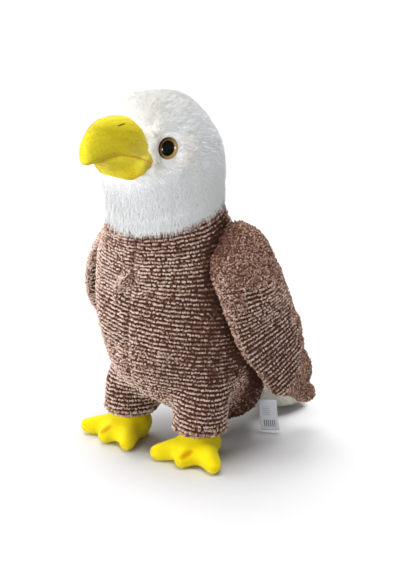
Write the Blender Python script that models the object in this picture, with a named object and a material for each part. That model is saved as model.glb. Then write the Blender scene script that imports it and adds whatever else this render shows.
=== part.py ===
# Plush bald eagle, standing on two feet and its tail. Sizes below are in millimetres.
# The toy faces -Y, its left side is +X, and it is built over the middle of its neck, then
# the whole is moved so that the origin is on the floor under the middle of its box.
import math
import bpy
import bmesh
from mathutils import Matrix, Vector

MM = 0.001               # metres in a millimetre
CLEARANCE = 0.3          # gap between neighbouring pieces
PAST_ALL = 600.0         # longer than the toy, for guides that cut right across it
MERGE = 0.00002          # merge distance in metres, for doubled points

HEAD_TURN = 8.0          # degrees the head looks towards the toy's right
HEAD_MIDDLE = (0.0, -4.6, 235.0)
SEAM_TILT = 15.0         # degrees the neck seams drop towards the chest
NECK_SEAM = 203.5        # height of the white and brown seam over the neck's middle
HEAD_SEAM = 222.0        # height of the parting between head and neck

EYE_RADIUS = 9.0
EYE_DEPTH = 6.0          # half the thickness of the eye's dome
EYE_PLACE = (26.0, 39.5, 22.0)   # forward, sideways and up from the head's middle
EYE_AIM = 77.0           # degrees from straight ahead

STITCH_RADIUS = 0.7
STITCH_ENDS = ((45.5, 15.5, 40.6), (52.0, 13.0, 40.2))

LEG_X = 38.0
LEG_Y = -2.0
TOE_REACH = {"inner": 35.5, "middle": 27.5, "outer": 38.0}   # ankle to the toe tip's ball
TOE_RADIUS = 8.5
TOE_SPREAD = 48.0        # degrees between neighbouring toes
FOOT_TURN = {"left": 9.0, "right": 11.0}    # degrees each foot points outwards
TOE_ROOT_RADIUS = 12.0
TOE_ROOT = (8.0, 11.0)   # how far ahead of the ankle and how high each toe begins
INSTEP_RADIUS = 19.0
INSTEP_HEIGHT = 13.0
HEEL_RADIUS = 14.0
HEEL = (8.0, 12.0)       # how far behind the ankle and how high the heel is
SOLE_SINK = 1.2          # how far the round toes press flat

WING_ROOT = (24.0, 198.0)        # Y and Z where the wing's length starts
WING_SLOPE = 64.7                # degrees the wing runs down from level
WING_ROLL = 0.3                  # how much thicker the rolled front edge is
WING_STAND_OFF = {"left": 0.0, "right": 8.0}    # extra room between wing and flank
WING_STAND_OFF_RUN = 45.0        # where down the wing that room is reached
WING_CUP = 4.0                   # how far both long edges bend in round the body

LABEL_WIDTH = 15.5
LABEL_LENGTH = 27.0
LABEL_THICKNESS = 0.7
LABEL_TOP = (41.0, 79.0, 29.0)
LABEL_BOW = 3.0          # how far it curves away from the body half way down
LABEL_DRIFT = 3.0        # sideways lean of its lower end
LABEL_TURN = 34.0        # degrees its width is turned from the toy's left

SIDES = {"left": 1, "right": -1}

RING_POINTS = 12         # points round the body, the head and the beak
LIMB_POINTS = 10         # points round a wing, a leg and the tail
BALL_POINTS = 8
FOOT_VOXEL = 4.2         # grid that the toes are welded on
FOOT_FACES_KEPT = 0.5


# height, middle's Y, half width, half depth, from the crown to the belly
BODY = (
    (296.0, -9.5, 14.0, 14.0),
    (290.5, -9.5, 27.0, 27.0),
    (281.0, -9.0, 37.5, 37.5),
    (268.5, -7.5, 46.0, 46.0),
    (254.0, -5.5, 52.0, 52.0),
    (237.0, -4.6, 54.3, 54.3),
    (220.0, -3.0, 52.0, 52.0),
    (205.0, -1.0, 49.5, 49.5),
    (192.0, 2.0, 53.5, 51.5),
    (176.0, 6.0, 59.0, 56.5),
    (156.0, 10.0, 63.5, 61.0),
    (134.0, 14.0, 66.5, 65.0),
    (112.0, 18.5, 68.5, 69.0),
    (90.0, 24.0, 69.0, 73.5),
    (70.0, 30.0, 66.0, 75.0),
    (52.0, 38.0, 58.0, 69.0),
    (36.0, 50.0, 48.0, 55.0),
    (21.0, 61.0, 37.0, 37.0),
    (12.0, 64.0, 24.0, 22.0),
)

# distance down the wing, front edge, rear edge, X of the middle, half thickness
WING = (
    (0.0, -26.0, -5.0, 53.0, 3.5),
    (4.0, -38.0, 4.5, 56.0, 7.0),
    (11.0, -50.0, 11.5, 61.0, 10.0),
    (22.0, -58.0, 15.5, 66.5, 11.5),
    (36.0, -61.0, 14.0, 71.0, 12.0),
    (54.0, -61.5, 14.0, 74.5, 12.0),
    (76.0, -59.5, 13.5, 76.0, 11.5),
    (100.0, -55.0, 13.0, 75.0, 10.5),
    (120.0, -47.5, 14.0, 73.0, 9.5),
    (129.5, -44.0, 13.5, 72.0, 9.0),
    (133.5, -42.5, 7.5, 71.5, 8.5),
    (138.0, -40.0, 11.0, 71.0, 8.5),
    (150.0, -33.5, 13.5, 70.0, 8.5),
    (163.0, -24.0, 12.5, 69.0, 8.0),
    (168.5, -19.5, 8.5, 68.0, 7.0),
    (172.0, -17.0, 4.5, 67.5, 6.5),
    (177.5, -14.0, 9.0, 67.0, 6.5),
    (186.0, -9.0, 10.0, 66.5, 5.5),
    (191.0, -4.0, 5.0, 66.0, 3.0),
)

# along the beak, its mouth line over the head's middle, half width, rise over and drop
# under that line
BEAK_UPPER = (
    (20.0, 6.0, 38.5, 40.0, 3.0),
    (33.0, 8.5, 39.0, 38.5, 3.0),
    (42.0, 14.0, 34.0, 32.0, 3.0),
    (51.0, 19.0, 27.5, 26.5, 3.0),
    (60.0, 20.0, 20.5, 23.5, 4.5),
    (68.0, 17.0, 14.0, 21.5, 8.0),
    (75.0, 16.0, 8.5, 14.5, 9.0),
    (78.5, 17.0, 3.5, 7.0, 5.0),
)
BEAK_LOWER = (
    (20.0, 8.0, 37.0, 8.0, 15.0),
    (33.0, 10.0, 38.0, 8.0, 17.0),
    (42.0, 14.0, 34.5, 8.0, 22.0),
    (51.0, 18.0, 27.0, 7.0, 24.5),
    (60.0, 18.0, 17.0, 6.0, 16.0),
    (66.0, 16.0, 8.5, 5.0, 8.0),
    (69.0, 15.0, 3.0, 2.0, 2.5),
)

# distance behind the neck, middle's height, half width, half height
TAIL = (
    (84.0, 43.0, 20.0, 14.0),
    (104.0, 33.0, 25.0, 16.0),
    (122.0, 19.0, 29.5, 14.5),
    (138.0, 11.0, 30.5, 12.5),
    (150.0, 8.5, 26.0, 10.5),
    (157.0, 7.5, 14.0, 6.0),
)

# height, middle's Y, half width; the leg is a stuffed tube let into the belly
LEG = (
    (22.5, 0.0, 21.5),
    (25.0, 0.0, 25.0),
    (34.0, 0.0, 24.0),
    (47.0, 1.0, 25.5),
    (63.0, 5.0, 24.5),
    (81.0, 14.0, 17.0),
)


def clearScene():
    for old in list(bpy.data.objects):
        bpy.data.objects.remove(old, do_unlink=True)


def material(name, colour, roughness):
    made = bpy.data.materials.new(name)
    made.use_nodes = True
    shader = made.node_tree.nodes["Principled BSDF"]
    shader.inputs["Base Color"].default_value = (*colour, 1.0)
    shader.inputs["Roughness"].default_value = roughness
    shader.inputs["Metallic"].default_value = 0.0
    return made


def addObject(name, shape, finish=None):
    """Turn a bmesh in millimetres into an object; one without a finish is a hidden guide."""
    shape.transform(Matrix.Scale(MM, 4))
    bmesh.ops.remove_doubles(shape, verts=shape.verts, dist=MERGE)
    bmesh.ops.recalc_face_normals(shape, faces=shape.faces)
    mesh = bpy.data.meshes.new(name)
    shape.to_mesh(mesh)
    shape.free()
    mesh.shade_smooth()
    made = bpy.data.objects.new(name, mesh)
    bpy.context.collection.objects.link(made)
    if finish is None:
        made.hide_render = True
        made.display_type = 'WIRE'
    else:
        mesh.materials.append(finish)
    return made


def soften(piece, levels=1):
    smooth = piece.modifiers.new("Soften", 'SUBSURF')
    smooth.levels = levels
    smooth.render_levels = levels


def swell(piece, distance=CLEARANCE):
    grow = piece.modifiers.new("Clearance", 'DISPLACE')
    grow.strength = distance * MM
    grow.mid_level = 0.0


def combine(piece, guide, operation='DIFFERENCE'):
    cut = piece.modifiers.new(guide.name, 'BOOLEAN')
    cut.operation = operation
    cut.object = guide
    cut.solver = 'EXACT'


def loft(rings):
    """Skin a row of closed rings, each a list of points, and close both ends."""
    shape = bmesh.new()
    edgeLoops = []
    for ring in rings:
        made = bmesh.ops.create_circle(shape, cap_ends=False, segments=len(ring), radius=1.0)
        for vert, place in zip(made["verts"], ring):
            vert.co = place
        edgeLoops.append(list({edge for vert in made["verts"] for edge in vert.link_edges}))
    for first, second in zip(edgeLoops, edgeLoops[1:]):
        bmesh.ops.bridge_loops(shape, edges=first + second)
    for ends in (edgeLoops[0], edgeLoops[-1]):
        bmesh.ops.contextual_create(shape, geom=ends)
    return shape


def circle(points=RING_POINTS):
    return [(math.cos(2 * math.pi * k / points), math.sin(2 * math.pi * k / points))
            for k in range(points)]


def headFrame():
    """Axes of the head: X forward out of the beak, Y to the toy's left, Z up."""
    turn = math.radians(HEAD_TURN)
    forward = Vector((-math.sin(turn), -math.cos(turn), 0.0))
    left = Vector((math.cos(turn), -math.sin(turn), 0.0))
    axes = Matrix((forward, left, Vector((0, 0, 1)))).transposed()
    return Matrix.Translation(HEAD_MIDDLE) @ axes.to_4x4()


def bodyShape():
    rings = [[(halfWide * c, middle + halfDeep * s, height) for c, s in circle()]
             for height, middle, halfWide, halfDeep in BODY]
    return loft(rings)


def tiltedBox(name, low, high):
    """A guide between two neck seams, both tilted down towards the chest."""
    shape = bmesh.new()
    bmesh.ops.create_cube(shape, size=1.0)
    bmesh.ops.scale(shape, verts=shape.verts, vec=(PAST_ALL, PAST_ALL, high - low))
    bmesh.ops.translate(shape, verts=shape.verts, vec=(0, 0, (low + high) / 2 - NECK_SEAM))
    tilt = Matrix.Rotation(math.radians(SEAM_TILT), 4, 'X')
    shape.transform(Matrix.Translation((0, 0, NECK_SEAM)) @ tilt)
    return addObject(name, shape)


def wingShape(word):
    side = SIDES[word]
    slope = math.radians(WING_SLOPE)
    along = Vector((math.cos(slope), -math.sin(slope)))
    across = Vector((math.sin(slope), math.cos(slope)))
    root = Vector(WING_ROOT)
    rings = []
    for run, front, rear, middleX, half in WING:
        ring = []
        middleX += WING_STAND_OFF[word] * min(1.0, run / WING_STAND_OFF_RUN)
        for c, s in circle(LIMB_POINTS):
            chord = (front + rear) / 2 + c * (rear - front) / 2
            place = root + along * run + across * chord
            thick = half * s * (1 - WING_ROLL * c)
            ring.append((side * (middleX - WING_CUP * c * c + thick), place.x, place.y))
        rings.append(ring)
    return loft(rings)


def beakShape(stations):
    frame = headFrame()
    rings = [[frame @ Vector((ahead, half * c, mouth + s * (rise if s > 0 else drop)))
              for c, s in circle()] for ahead, mouth, half, rise, drop in stations]
    return loft(rings)


def eyeShape(side):
    shape = bmesh.new()
    bmesh.ops.create_uvsphere(shape, u_segments=16, v_segments=8, radius=1.0)
    ahead, sideways, up = EYE_PLACE
    aim = Matrix.Rotation(side * math.radians(EYE_AIM), 4, 'Z')
    upright = Matrix.Rotation(math.radians(90), 4, 'Y')
    size = Matrix.Diagonal((EYE_RADIUS, EYE_RADIUS, EYE_DEPTH, 1.0))
    place = Matrix.Translation((ahead, side * sideways, up))
    shape.transform(headFrame() @ place @ aim @ upright @ size)
    return shape


def ball(shape, middle, radius):
    made = bmesh.ops.create_uvsphere(shape, u_segments=BALL_POINTS, v_segments=BALL_POINTS // 2,
                                     radius=radius, matrix=Matrix.Translation(middle))
    return made["verts"]


def capsule(shape, start, startRadius, end, endRadius):
    """A stuffed finger: the hull round two balls."""
    verts = ball(shape, start, startRadius) + ball(shape, end, endRadius)
    bare = list({edge for vert in verts for edge in vert.link_edges})
    bmesh.ops.delete(shape, geom=bare, context='EDGES_FACES')
    made = bmesh.ops.convex_hull(shape, input=verts)
    spare = [item for item in made["geom_interior"] if isinstance(item, bmesh.types.BMVert)]
    bmesh.ops.delete(shape, geom=spare, context='VERTS')


def stitchShape(side, grow=0.0):
    shape = bmesh.new()
    ends = [headFrame() @ Vector((a, side * b, c)) for a, b, c in STITCH_ENDS]
    radius = STITCH_RADIUS + grow
    capsule(shape, ends[0], radius, ends[1], radius)
    return shape


def footShape(word):
    side = SIDES[word]
    shape = bmesh.new()
    ankle = Vector((side * LEG_X, LEG_Y, 0.0))
    floorBall = Vector((0, 0, TOE_RADIUS - SOLE_SINK))
    for toe, name in ((-1, "inner"), (0, "middle"), (1, "outer")):
        angle = side * math.radians(toe * TOE_SPREAD + FOOT_TURN[word])
        ahead = Vector((math.sin(angle), -math.cos(angle), 0.0))
        capsule(shape, ankle + ahead * TOE_ROOT[0] + Vector((0, 0, TOE_ROOT[1])), TOE_ROOT_RADIUS,
                ankle + ahead * TOE_REACH[name] + floorBall, TOE_RADIUS)
    capsule(shape, ankle + Vector((0, 0, INSTEP_HEIGHT)), INSTEP_RADIUS,
            ankle + Vector((0, *HEEL)), HEEL_RADIUS)
    return shape


def footObject(name, word, finish=None):
    foot = addObject(name, footShape(word), finish)
    weld = foot.modifiers.new("One skin", 'REMESH')
    weld.mode = 'VOXEL'
    weld.voxel_size = FOOT_VOXEL * MM
    relax = foot.modifiers.new("Relax", 'SMOOTH')
    relax.factor = 0.5
    relax.iterations = 3
    thin = foot.modifiers.new("Fewer faces", 'DECIMATE')
    thin.ratio = FOOT_FACES_KEPT
    return foot


def tailShape():
    rings = [[(halfWide * c, behind, middle + halfHigh * s) for c, s in circle(LIMB_POINTS)]
             for behind, middle, halfWide, halfHigh in TAIL]
    return loft(rings)


def legShape(side):
    rings = [[(side * LEG_X + half * c, LEG_Y + middle + half * s, height)
              for c, s in circle(LIMB_POINTS)] for height, middle, half in LEG]
    return loft(rings)


def labelShape():
    """A strip that leaves the seam and hangs down in a shallow bow."""
    rows = 6
    turn = math.radians(LABEL_TURN)
    wide = Vector((math.cos(turn), math.sin(turn), 0.0))
    out = Vector((math.sin(turn), -math.cos(turn), 0.0))
    top = Vector(LABEL_TOP)
    rings = []
    for row in range(rows):
        share = row / (rows - 1)
        down = top + Vector((0, 0, -LABEL_LENGTH * share)) + wide * LABEL_DRIFT * share
        down += out * LABEL_BOW * math.sin(math.pi * share)
        rings.append([down + wide * (w * LABEL_WIDTH / 2) + out * (t * LABEL_THICKNESS / 2)
                      for w, t in ((-1, -1), (1, -1), (1, 1), (-1, 1))])
    return loft(rings)


def floorBox():
    """A guide whose top is the floor."""
    shape = bmesh.new()
    bmesh.ops.create_cube(shape, size=PAST_ALL)
    bmesh.ops.translate(shape, verts=shape.verts, vec=(0, 0, -PAST_ALL / 2))
    return addObject("guide_floor", shape)


def build():
    clearScene()
    white = material("white plush", (0.90, 0.90, 0.88), 0.95)
    brown = material("brown boucle", (0.27, 0.18, 0.15), 0.98)
    yellow = material("yellow velour", (0.88, 0.74, 0.03), 0.85)
    amber = material("eye plastic", (0.45, 0.25, 0.03), 0.12)
    thread = material("black thread", (0.02, 0.02, 0.02), 0.7)
    satin = material("label satin", (0.85, 0.87, 0.90), 0.5)

    floor = floorBox()
    grown = addObject("guide_body", bodyShape())
    soften(grown)
    swell(grown)

    half = CLEARANCE / 2
    sections = (("head", white, HEAD_SEAM + half, PAST_ALL),
                ("neck", white, NECK_SEAM + half, HEAD_SEAM - half),
                ("trunk", brown, -PAST_ALL, NECK_SEAM - half))
    made = {}
    for name, finish, low, high in sections:
        made[name] = addObject(name, bodyShape(), finish)
        soften(made[name])
        combine(made[name], tiltedBox("guide_" + name, low, high), 'INTERSECT')

    for word, side in SIDES.items():
        addObject("eye_" + word, eyeShape(side), amber)
        socket = addObject("guide_socket_" + word, eyeShape(side))
        swell(socket)
        combine(made["head"], socket)

    upper = addObject("beak_upper", beakShape(BEAK_UPPER), yellow)
    soften(upper)
    combine(upper, grown)
    upperGrown = addObject("guide_beak", beakShape(BEAK_UPPER))
    soften(upperGrown)
    swell(upperGrown)
    lower = addObject("beak_lower", beakShape(BEAK_LOWER), yellow)
    soften(lower)
    combine(lower, grown)
    combine(lower, upperGrown)
    for word, side in SIDES.items():
        addObject("nostril_" + word, stitchShape(side), thread)
        combine(upper, addObject("guide_nostril_" + word, stitchShape(side, CLEARANCE)))

    for word, side in SIDES.items():
        wing = addObject("wing_" + word, wingShape(word), brown)
        soften(wing)
        combine(wing, grown)
        foot = footObject("foot_" + word, word, yellow)
        combine(foot, floor)
        footGrown = footObject("guide_foot_" + word, word)
        swell(footGrown, 2 * CLEARANCE)
        leg = addObject("leg_" + word, legShape(side), brown)
        soften(leg)
        combine(leg, footGrown)
        combine(leg, grown)

    tail = addObject("tail", tailShape(), white)
    soften(tail)
    combine(tail, floor)
    combine(tail, grown)
    label = addObject("label", labelShape(), satin)
    combine(label, grown)

    centreOnFloor()


def centreOnFloor():
    """Move every object so that the box of the visible ones is centred over the origin."""
    low = Vector((1e9, 1e9, 1e9))
    high = -low
    depsgraph = bpy.context.evaluated_depsgraph_get()
    for piece in bpy.data.objects:
        if piece.hide_render:
            continue
        mesh = piece.evaluated_get(depsgraph).to_mesh()
        for vert in mesh.vertices:
            for axis in range(3):
                low[axis] = min(low[axis], vert.co[axis])
                high[axis] = max(high[axis], vert.co[axis])
    shift = Vector((-(low.x + high.x) / 2, -(low.y + high.y) / 2, -low.z))
    for piece in bpy.data.objects:
        piece.location = shift


build()
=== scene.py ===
import math

import bmesh
import bpy
import numpy as np
from mathutils import Matrix, Vector
from mathutils.bvhtree import BVHTree


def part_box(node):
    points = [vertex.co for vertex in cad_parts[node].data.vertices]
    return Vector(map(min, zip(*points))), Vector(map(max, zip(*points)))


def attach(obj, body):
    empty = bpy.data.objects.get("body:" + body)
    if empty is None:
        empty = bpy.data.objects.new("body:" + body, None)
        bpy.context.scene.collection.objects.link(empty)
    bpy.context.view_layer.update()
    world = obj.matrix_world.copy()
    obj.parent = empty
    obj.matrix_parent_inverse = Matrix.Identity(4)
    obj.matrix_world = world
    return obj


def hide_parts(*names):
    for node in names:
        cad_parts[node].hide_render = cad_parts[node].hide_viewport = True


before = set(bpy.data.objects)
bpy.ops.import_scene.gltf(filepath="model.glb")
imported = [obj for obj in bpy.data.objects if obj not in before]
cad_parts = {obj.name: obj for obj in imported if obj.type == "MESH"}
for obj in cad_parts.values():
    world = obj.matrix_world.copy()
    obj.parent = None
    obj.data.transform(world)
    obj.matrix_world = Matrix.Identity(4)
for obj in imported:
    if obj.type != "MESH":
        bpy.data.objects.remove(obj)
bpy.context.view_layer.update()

mm = 0.001
patchWidth = 0.003       # how much of the flat layout each tuft takes
facesPerPiece = 190000   # most triangles in one piece of pile
thinning = 1    # how many times more sparsely the tufts are planted
up = Vector((0, 0, 1))
# where each piece's random draws start
seeds = {"body": 100, "wing_left": 200, "wing_right": 300, "beak": 400, "foot_left": 500,
         "foot_right": 600, "head": 700, "head_loose": 701, "tail": 800, "body_patches": 11,
         "body_worn": 13, "body_lumps": 17, "wing_patches": 31, "jaw_gathers": 41}


def tell(stage):
    print("eagle:", stage)


def middleOf(node):
    low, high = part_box(node)
    return (low + high) / 2


# The head's own axes, found from its eyes: ahead out of the beak, side to the toy's left.
head = {"eyeAhead": 26 * mm, "eyeUp": 22 * mm, "beakRootAhead": 38 * mm, "beakRootUp": 18 * mm,
        "bodyBehind": 16 * mm}
eyePlace = {"left": middleOf("eye_left"), "right": middleOf("eye_right")}
side = (eyePlace["left"] - eyePlace["right"]).normalized()
ahead = side.cross(up)
eyesMiddle = (eyePlace["left"] + eyePlace["right"]) / 2
headMiddle = eyesMiddle - ahead * head["eyeAhead"] - up * head["eyeUp"]
beakRoot = headMiddle + ahead * head["beakRootAhead"] + up * head["beakRootUp"]

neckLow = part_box("neck")[0]
neckTilt = math.tan(math.radians(15))    # how steeply the collar climbs to the back
bodyAxis = headMiddle + Vector((0, head["bodyBehind"], 0))


def fromHead(points):
    # how far ahead, sideways and up of the head's middle
    return ((points - np.array(headMiddle)) @ np.array((ahead, side, up)).T).T


def acrossHead(place):
    # the same place on the other side of the head
    return place - 2 * (place - headMiddle).dot(side) * side


def seamHeight(y):
    # height of the sloping seam between white and brown
    return neckLow.z + neckTilt * (y - neckLow.y)


def ramp(value, low, high):
    return np.clip((value - low) / (high - low), 0, 1)


def ease(value, low, high):
    share = ramp(value, low, high)
    return share * share * (3 - 2 * share)


def bell(distance, reach):
    # one at nought, and falling away round it
    return np.exp(-(distance / reach) ** 2)


def howFar(points, place):
    return np.linalg.norm(points - np.array(place), axis=1)


def at(x, y, z):
    return np.array((x, y, z)) * mm


def unit(vectors):
    return vectors / np.maximum(np.linalg.norm(vectors, axis=-1, keepdims=True), 1e-12)


def flatten(vectors, normals):
    # the part of each vector that lies along the surface
    return vectors - normals * (vectors * normals).sum(1)[:, None]


def drift(points, size, seed):
    # a smooth random field, mostly between -1 and 1, from a few crossing waves
    dice = np.random.default_rng(seed)
    total = np.zeros(len(points))
    waves = 6
    for _ in range(waves):
        way = unit(dice.normal(size=3))
        pitch = size * dice.uniform(0.7, 1.5)
        total += np.sin(points @ way * (2 * math.pi / pitch) + dice.uniform(0, 2 * math.pi))
    return total / math.sqrt(2 * waves)


class Wire:
    # a socket that can be used in sums
    def __init__(self, bench, socket):
        self.bench = bench
        self.socket = socket

    def sum(self, operation, first, second):
        return self.bench.add("ShaderNodeMath", {"operation": operation}, {0: first, 1: second})

    def __add__(self, other):
        return self.sum("ADD", self, other)

    def __radd__(self, other):
        return self.sum("ADD", other, self)

    def __sub__(self, other):
        return self.sum("SUBTRACT", self, other)

    def __rsub__(self, other):
        return self.sum("SUBTRACT", other, self)

    def __mul__(self, other):
        return self.sum("MULTIPLY", self, other)

    def __rmul__(self, other):
        return self.sum("MULTIPLY", other, self)

    def __lt__(self, other):
        return self.sum("LESS_THAN", self, other)

    def __gt__(self, other):
        return self.sum("GREATER_THAN", self, other)


class Bench:
    # one material and the tools to wire it
    def __init__(self, name, fixed):
        self.material = bpy.data.materials.new(name)
        self.material.use_nodes = True
        self.tree = self.material.node_tree
        self.shader = self.tree.nodes["Principled BSDF"]
        for socket, value in fixed.items():
            self.shader.inputs[socket].default_value = value
        self.place = self.add("ShaderNodeTexCoord", out="Object")

    def find(self, sockets, key):
        if isinstance(key, int):
            return sockets[key]
        for name in ("identifier", "name"):
            for socket in sockets:
                if getattr(socket, name) == key:
                    return socket

    def feed(self, socket, value):
        if isinstance(value, Wire):
            self.tree.links.new(value.socket, socket)
        else:
            socket.default_value = value

    def add(self, kind, settings=None, inputs=None, out=0):
        node = self.tree.nodes.new(kind)
        for key, value in (settings or {}).items():
            setattr(node, key, value)
        for key, value in (inputs or {}).items():
            self.feed(self.find(node.inputs, key), value)
        return Wire(self, self.find(node.outputs, out))

    def value(self, name):
        return self.add("ShaderNodeAttribute", {"attribute_name": name}, out="Fac")

    def grain(self, scale, detail, rough, where=None):
        inputs = {"Vector": where or self.place, "Scale": scale, "Detail": detail, "Roughness": rough}
        return self.add("ShaderNodeTexNoise", {}, inputs, "Fac")

    def stretch(self, sizes):
        # the place with each axis scaled, so that a grain on it comes out drawn out
        return self.add("ShaderNodeVectorMath", {"operation": "MULTIPLY"}, {0: self.place, 1: sizes})

    def step(self, value, low, high):
        inputs = {"Value": value, "From Min": low, "From Max": high}
        return self.add("ShaderNodeMapRange", {"interpolation_type": "SMOOTHSTEP"}, inputs)

    def mix(self, share, first, second):
        inputs = {"Factor_Float": share, "A_Color": first, "B_Color": second}
        return self.add("ShaderNodeMix", {"data_type": "RGBA"}, inputs, "Result_Color")

    def softened(self, share):
        # pile is lit partly by the way its cloth faces, which blurs one lock into the next
        way = self.add("ShaderNodeAttribute", {"attribute_name": "facing"}, out="Vector")
        own = self.add("ShaderNodeNewGeometry", out="Normal")
        inputs = {"Factor_Float": share, "A_Vector": own, "B_Vector": way}
        mixed = self.add("ShaderNodeMix", {"data_type": "VECTOR"}, inputs, "Result_Vector")
        return self.add("ShaderNodeVectorMath", {"operation": "NORMALIZE"}, {0: mixed})

    def finish(self, colour=None, bump=None, height=None, strength=None, roughness=None, normal=None):
        if colour is not None:
            self.feed(self.shader.inputs["Base Color"], colour)
        if roughness is not None:
            self.feed(self.shader.inputs["Roughness"], roughness)
        if bump is not None:
            inputs = {"Height": bump, "Distance": height, "Strength": strength}
            if normal is not None:
                inputs["Normal"] = normal
            self.feed(self.shader.inputs["Normal"], self.add("ShaderNodeBump", {}, inputs, "Normal"))
        return self.material


def dye(red, green, blue):
    # a screen colour from 0 to 255 as the shader's own
    linear = [c / 255 / 12.92 if c <= 10 else ((c / 255 + 0.055) / 1.055) ** 2.4
              for c in (red, green, blue)]
    return (*linear, 1.0)


# colours are from 0 to 255; a grain is its scale, its detail and its roughness
# the valley colours are painted shade: the dark foot of every loop, and the backing between the rows, which
# is paler on the rib tops
boucle = {
    "yarnPale": (223, 200, 187), "yarnMid": (166, 128, 110), "yarnDark": (78, 50, 41),
    "valley": (66, 43, 35), "valleyRib": (124, 92, 79), "fleck": (1500, 3, 0.6),
    "fibres": (4200, 2, 0.7), "knots": (900, 3, 0.6), "flecked": 0.35,
}
plush = {
    "tip": (253, 255, 255), "root": (249, 251, 252), "tailTip": (232, 228, 217),
    "tailRoot": (202, 196, 181), "crest": (235, 233, 227), "crestRoot": (230, 227, 220),
    "nook": (188, 186, 176), "soft": 0.15, "patches": (90, 3, 0.6), "strands": (2600, 2, 0.6),
    "skin": {"shade": 0.5, "rise": 0.2},
}
# the velour's orange is painted shade in its folds and hollows
velour = {
    "pile": (230, 212, 13), "worn": (230, 205, 10), "pressed": (206, 144, 6),
    "beakPile": (170, 154, 24), "beakDeep": (152, 132, 18), "seam": (140, 100, 20),
    # painted light: the pale yellow over the beak's front and top
    "paintedLight": (232, 218, 44), "sheen": (255, 240, 110), "clouds": (45, 3, 0.55),
    "nap": (2200, 3, 0.65), "tufts": (700, 2, 0.5),
}


def boucleYarn():
    bench = Bench("boucle yarn", {"Roughness": 0.95, "Specular IOR Level": 0.15})
    shade = bench.value("shade")
    rise = bench.value("rise")
    tone = shade + (bench.grain(*boucle["fleck"]) - 0.5) * boucle["flecked"]
    yarn = bench.mix(bench.step(tone, 0.05, 0.45), dye(*boucle["yarnDark"]), dye(*boucle["yarnMid"]))
    yarn = bench.mix(bench.step(tone, 0.35, 0.85), yarn, dye(*boucle["yarnPale"]))
    # painted shade: the lower part of every loop takes the dark valley colour, and ruffled loops less so
    lit = bench.step(rise + bench.value("press") * 0.3, 0.0, 0.55)
    colour = bench.mix(lit, dye(*boucle["valley"]), yarn)
    return bench.finish(colour, bench.grain(*boucle["fibres"]), 0.15 * mm, 0.7)


def boucleBacking():
    bench = Bench("boucle backing", {"Roughness": 0.97, "Specular IOR Level": 0.1})
    rib = bench.value("rib")
    knot = bench.grain(*boucle["knots"])
    # painted shade: the backing is dark in the valleys between the rows and paler on the rib tops
    pale = bench.step(knot * 0.6 + rib * 0.5, 0.45, 0.95)
    colour = bench.mix(pale, dye(*boucle["valley"]), dye(*boucle["valleyRib"]))
    return bench.finish(colour, knot + rib, 0.5 * mm, 0.8)


def plushPile(name, tip, root):
    bench = Bench(name, {"Roughness": 0.85, "Specular IOR Level": 0.2, "Sheen Weight": 0.15,
                         "Sheen Roughness": 0.4})
    shade = bench.value("shade")
    rise = bench.value("rise")
    lock = bench.grain(*plush["patches"])
    whole = bench.step(rise * 0.7 + shade * 0.3 + (lock - 0.5) * 0.3, 0.0, 0.7)
    colour = bench.mix(whole, dye(*root), dye(*tip))
    crest = bench.mix(whole, dye(*plush["crestRoot"]), dye(*plush["crest"]))
    # painted shade: greyer on the forehead and the crown, and in the hollow between the eye and the beak
    colour = bench.mix(bench.value("crest"), colour, crest)
    colour = bench.mix(bench.value("press"), colour, dye(*plush["nook"]))
    strand = bench.grain(*plush["strands"])
    return bench.finish(colour, strand, 0.1 * mm, 0.4, normal=bench.softened(plush["soft"]))


def velourPile(name, pile, worn, pressed):
    bench = Bench(name, {"Roughness": 0.8, "Specular IOR Level": 0.2, "Sheen Weight": 1.0,
                         "Sheen Roughness": 0.4, "Sheen Tint": dye(*velour["sheen"])})
    press = bench.value("press")
    shade = bench.value("shade")
    cloud = bench.grain(*velour["clouds"])
    nap = bench.grain(*velour["nap"])
    colour = bench.mix(bench.step(cloud, 0.35, 0.75) * 0.55, dye(*pile), dye(*worn))
    # painted shade: the orange in the folds, seams and hollows
    colour = bench.mix(bench.step(press + (nap - 0.5) * 0.25, 0.1, 0.95), colour, dye(*pressed))
    colour = bench.mix((1 - shade) * 0.35, colour, dye(*worn))
    # painted light: paler where the beak faces ahead and up
    colour = bench.mix(bench.value("paintedLight"), colour, dye(*velour["paintedLight"]))
    colour = bench.mix(bench.value("seam"), colour, dye(*velour["seam"]))
    bump = nap * 0.5 + bench.grain(*velour["tufts"]) * 0.5
    return bench.finish(colour, bump, 0.25 * mm, 0.5)


def link(name, mesh):
    made = bpy.data.objects.new(name, mesh)
    bpy.context.scene.collection.objects.link(made)
    return made


def onToy(piece):
    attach(piece, "root")


def addPiece(name, shape, finish=None):
    mesh = bpy.data.meshes.new(name)
    shape.to_mesh(mesh)
    shape.free()
    mesh.shade_smooth()
    if finish is not None:
        mesh.materials.append(finish)
    return link(name, mesh)


def bakeModifiers(piece):
    graph = bpy.context.evaluated_depsgraph_get()
    mesh = bpy.data.meshes.new_from_object(piece.evaluated_get(graph))
    piece.modifiers.clear()
    piece.data = mesh


def nodeShape(node, shift=None):
    # a welded copy of one of the frame's solids, moved by shift
    shape = bmesh.new()
    shape.from_mesh(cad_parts[node].data)
    bmesh.ops.remove_doubles(shape, verts=shape.verts, dist=0.01 * mm)
    if shift is not None:
        bmesh.ops.translate(shape, verts=shape.verts, vec=shift)
    return shape


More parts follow.
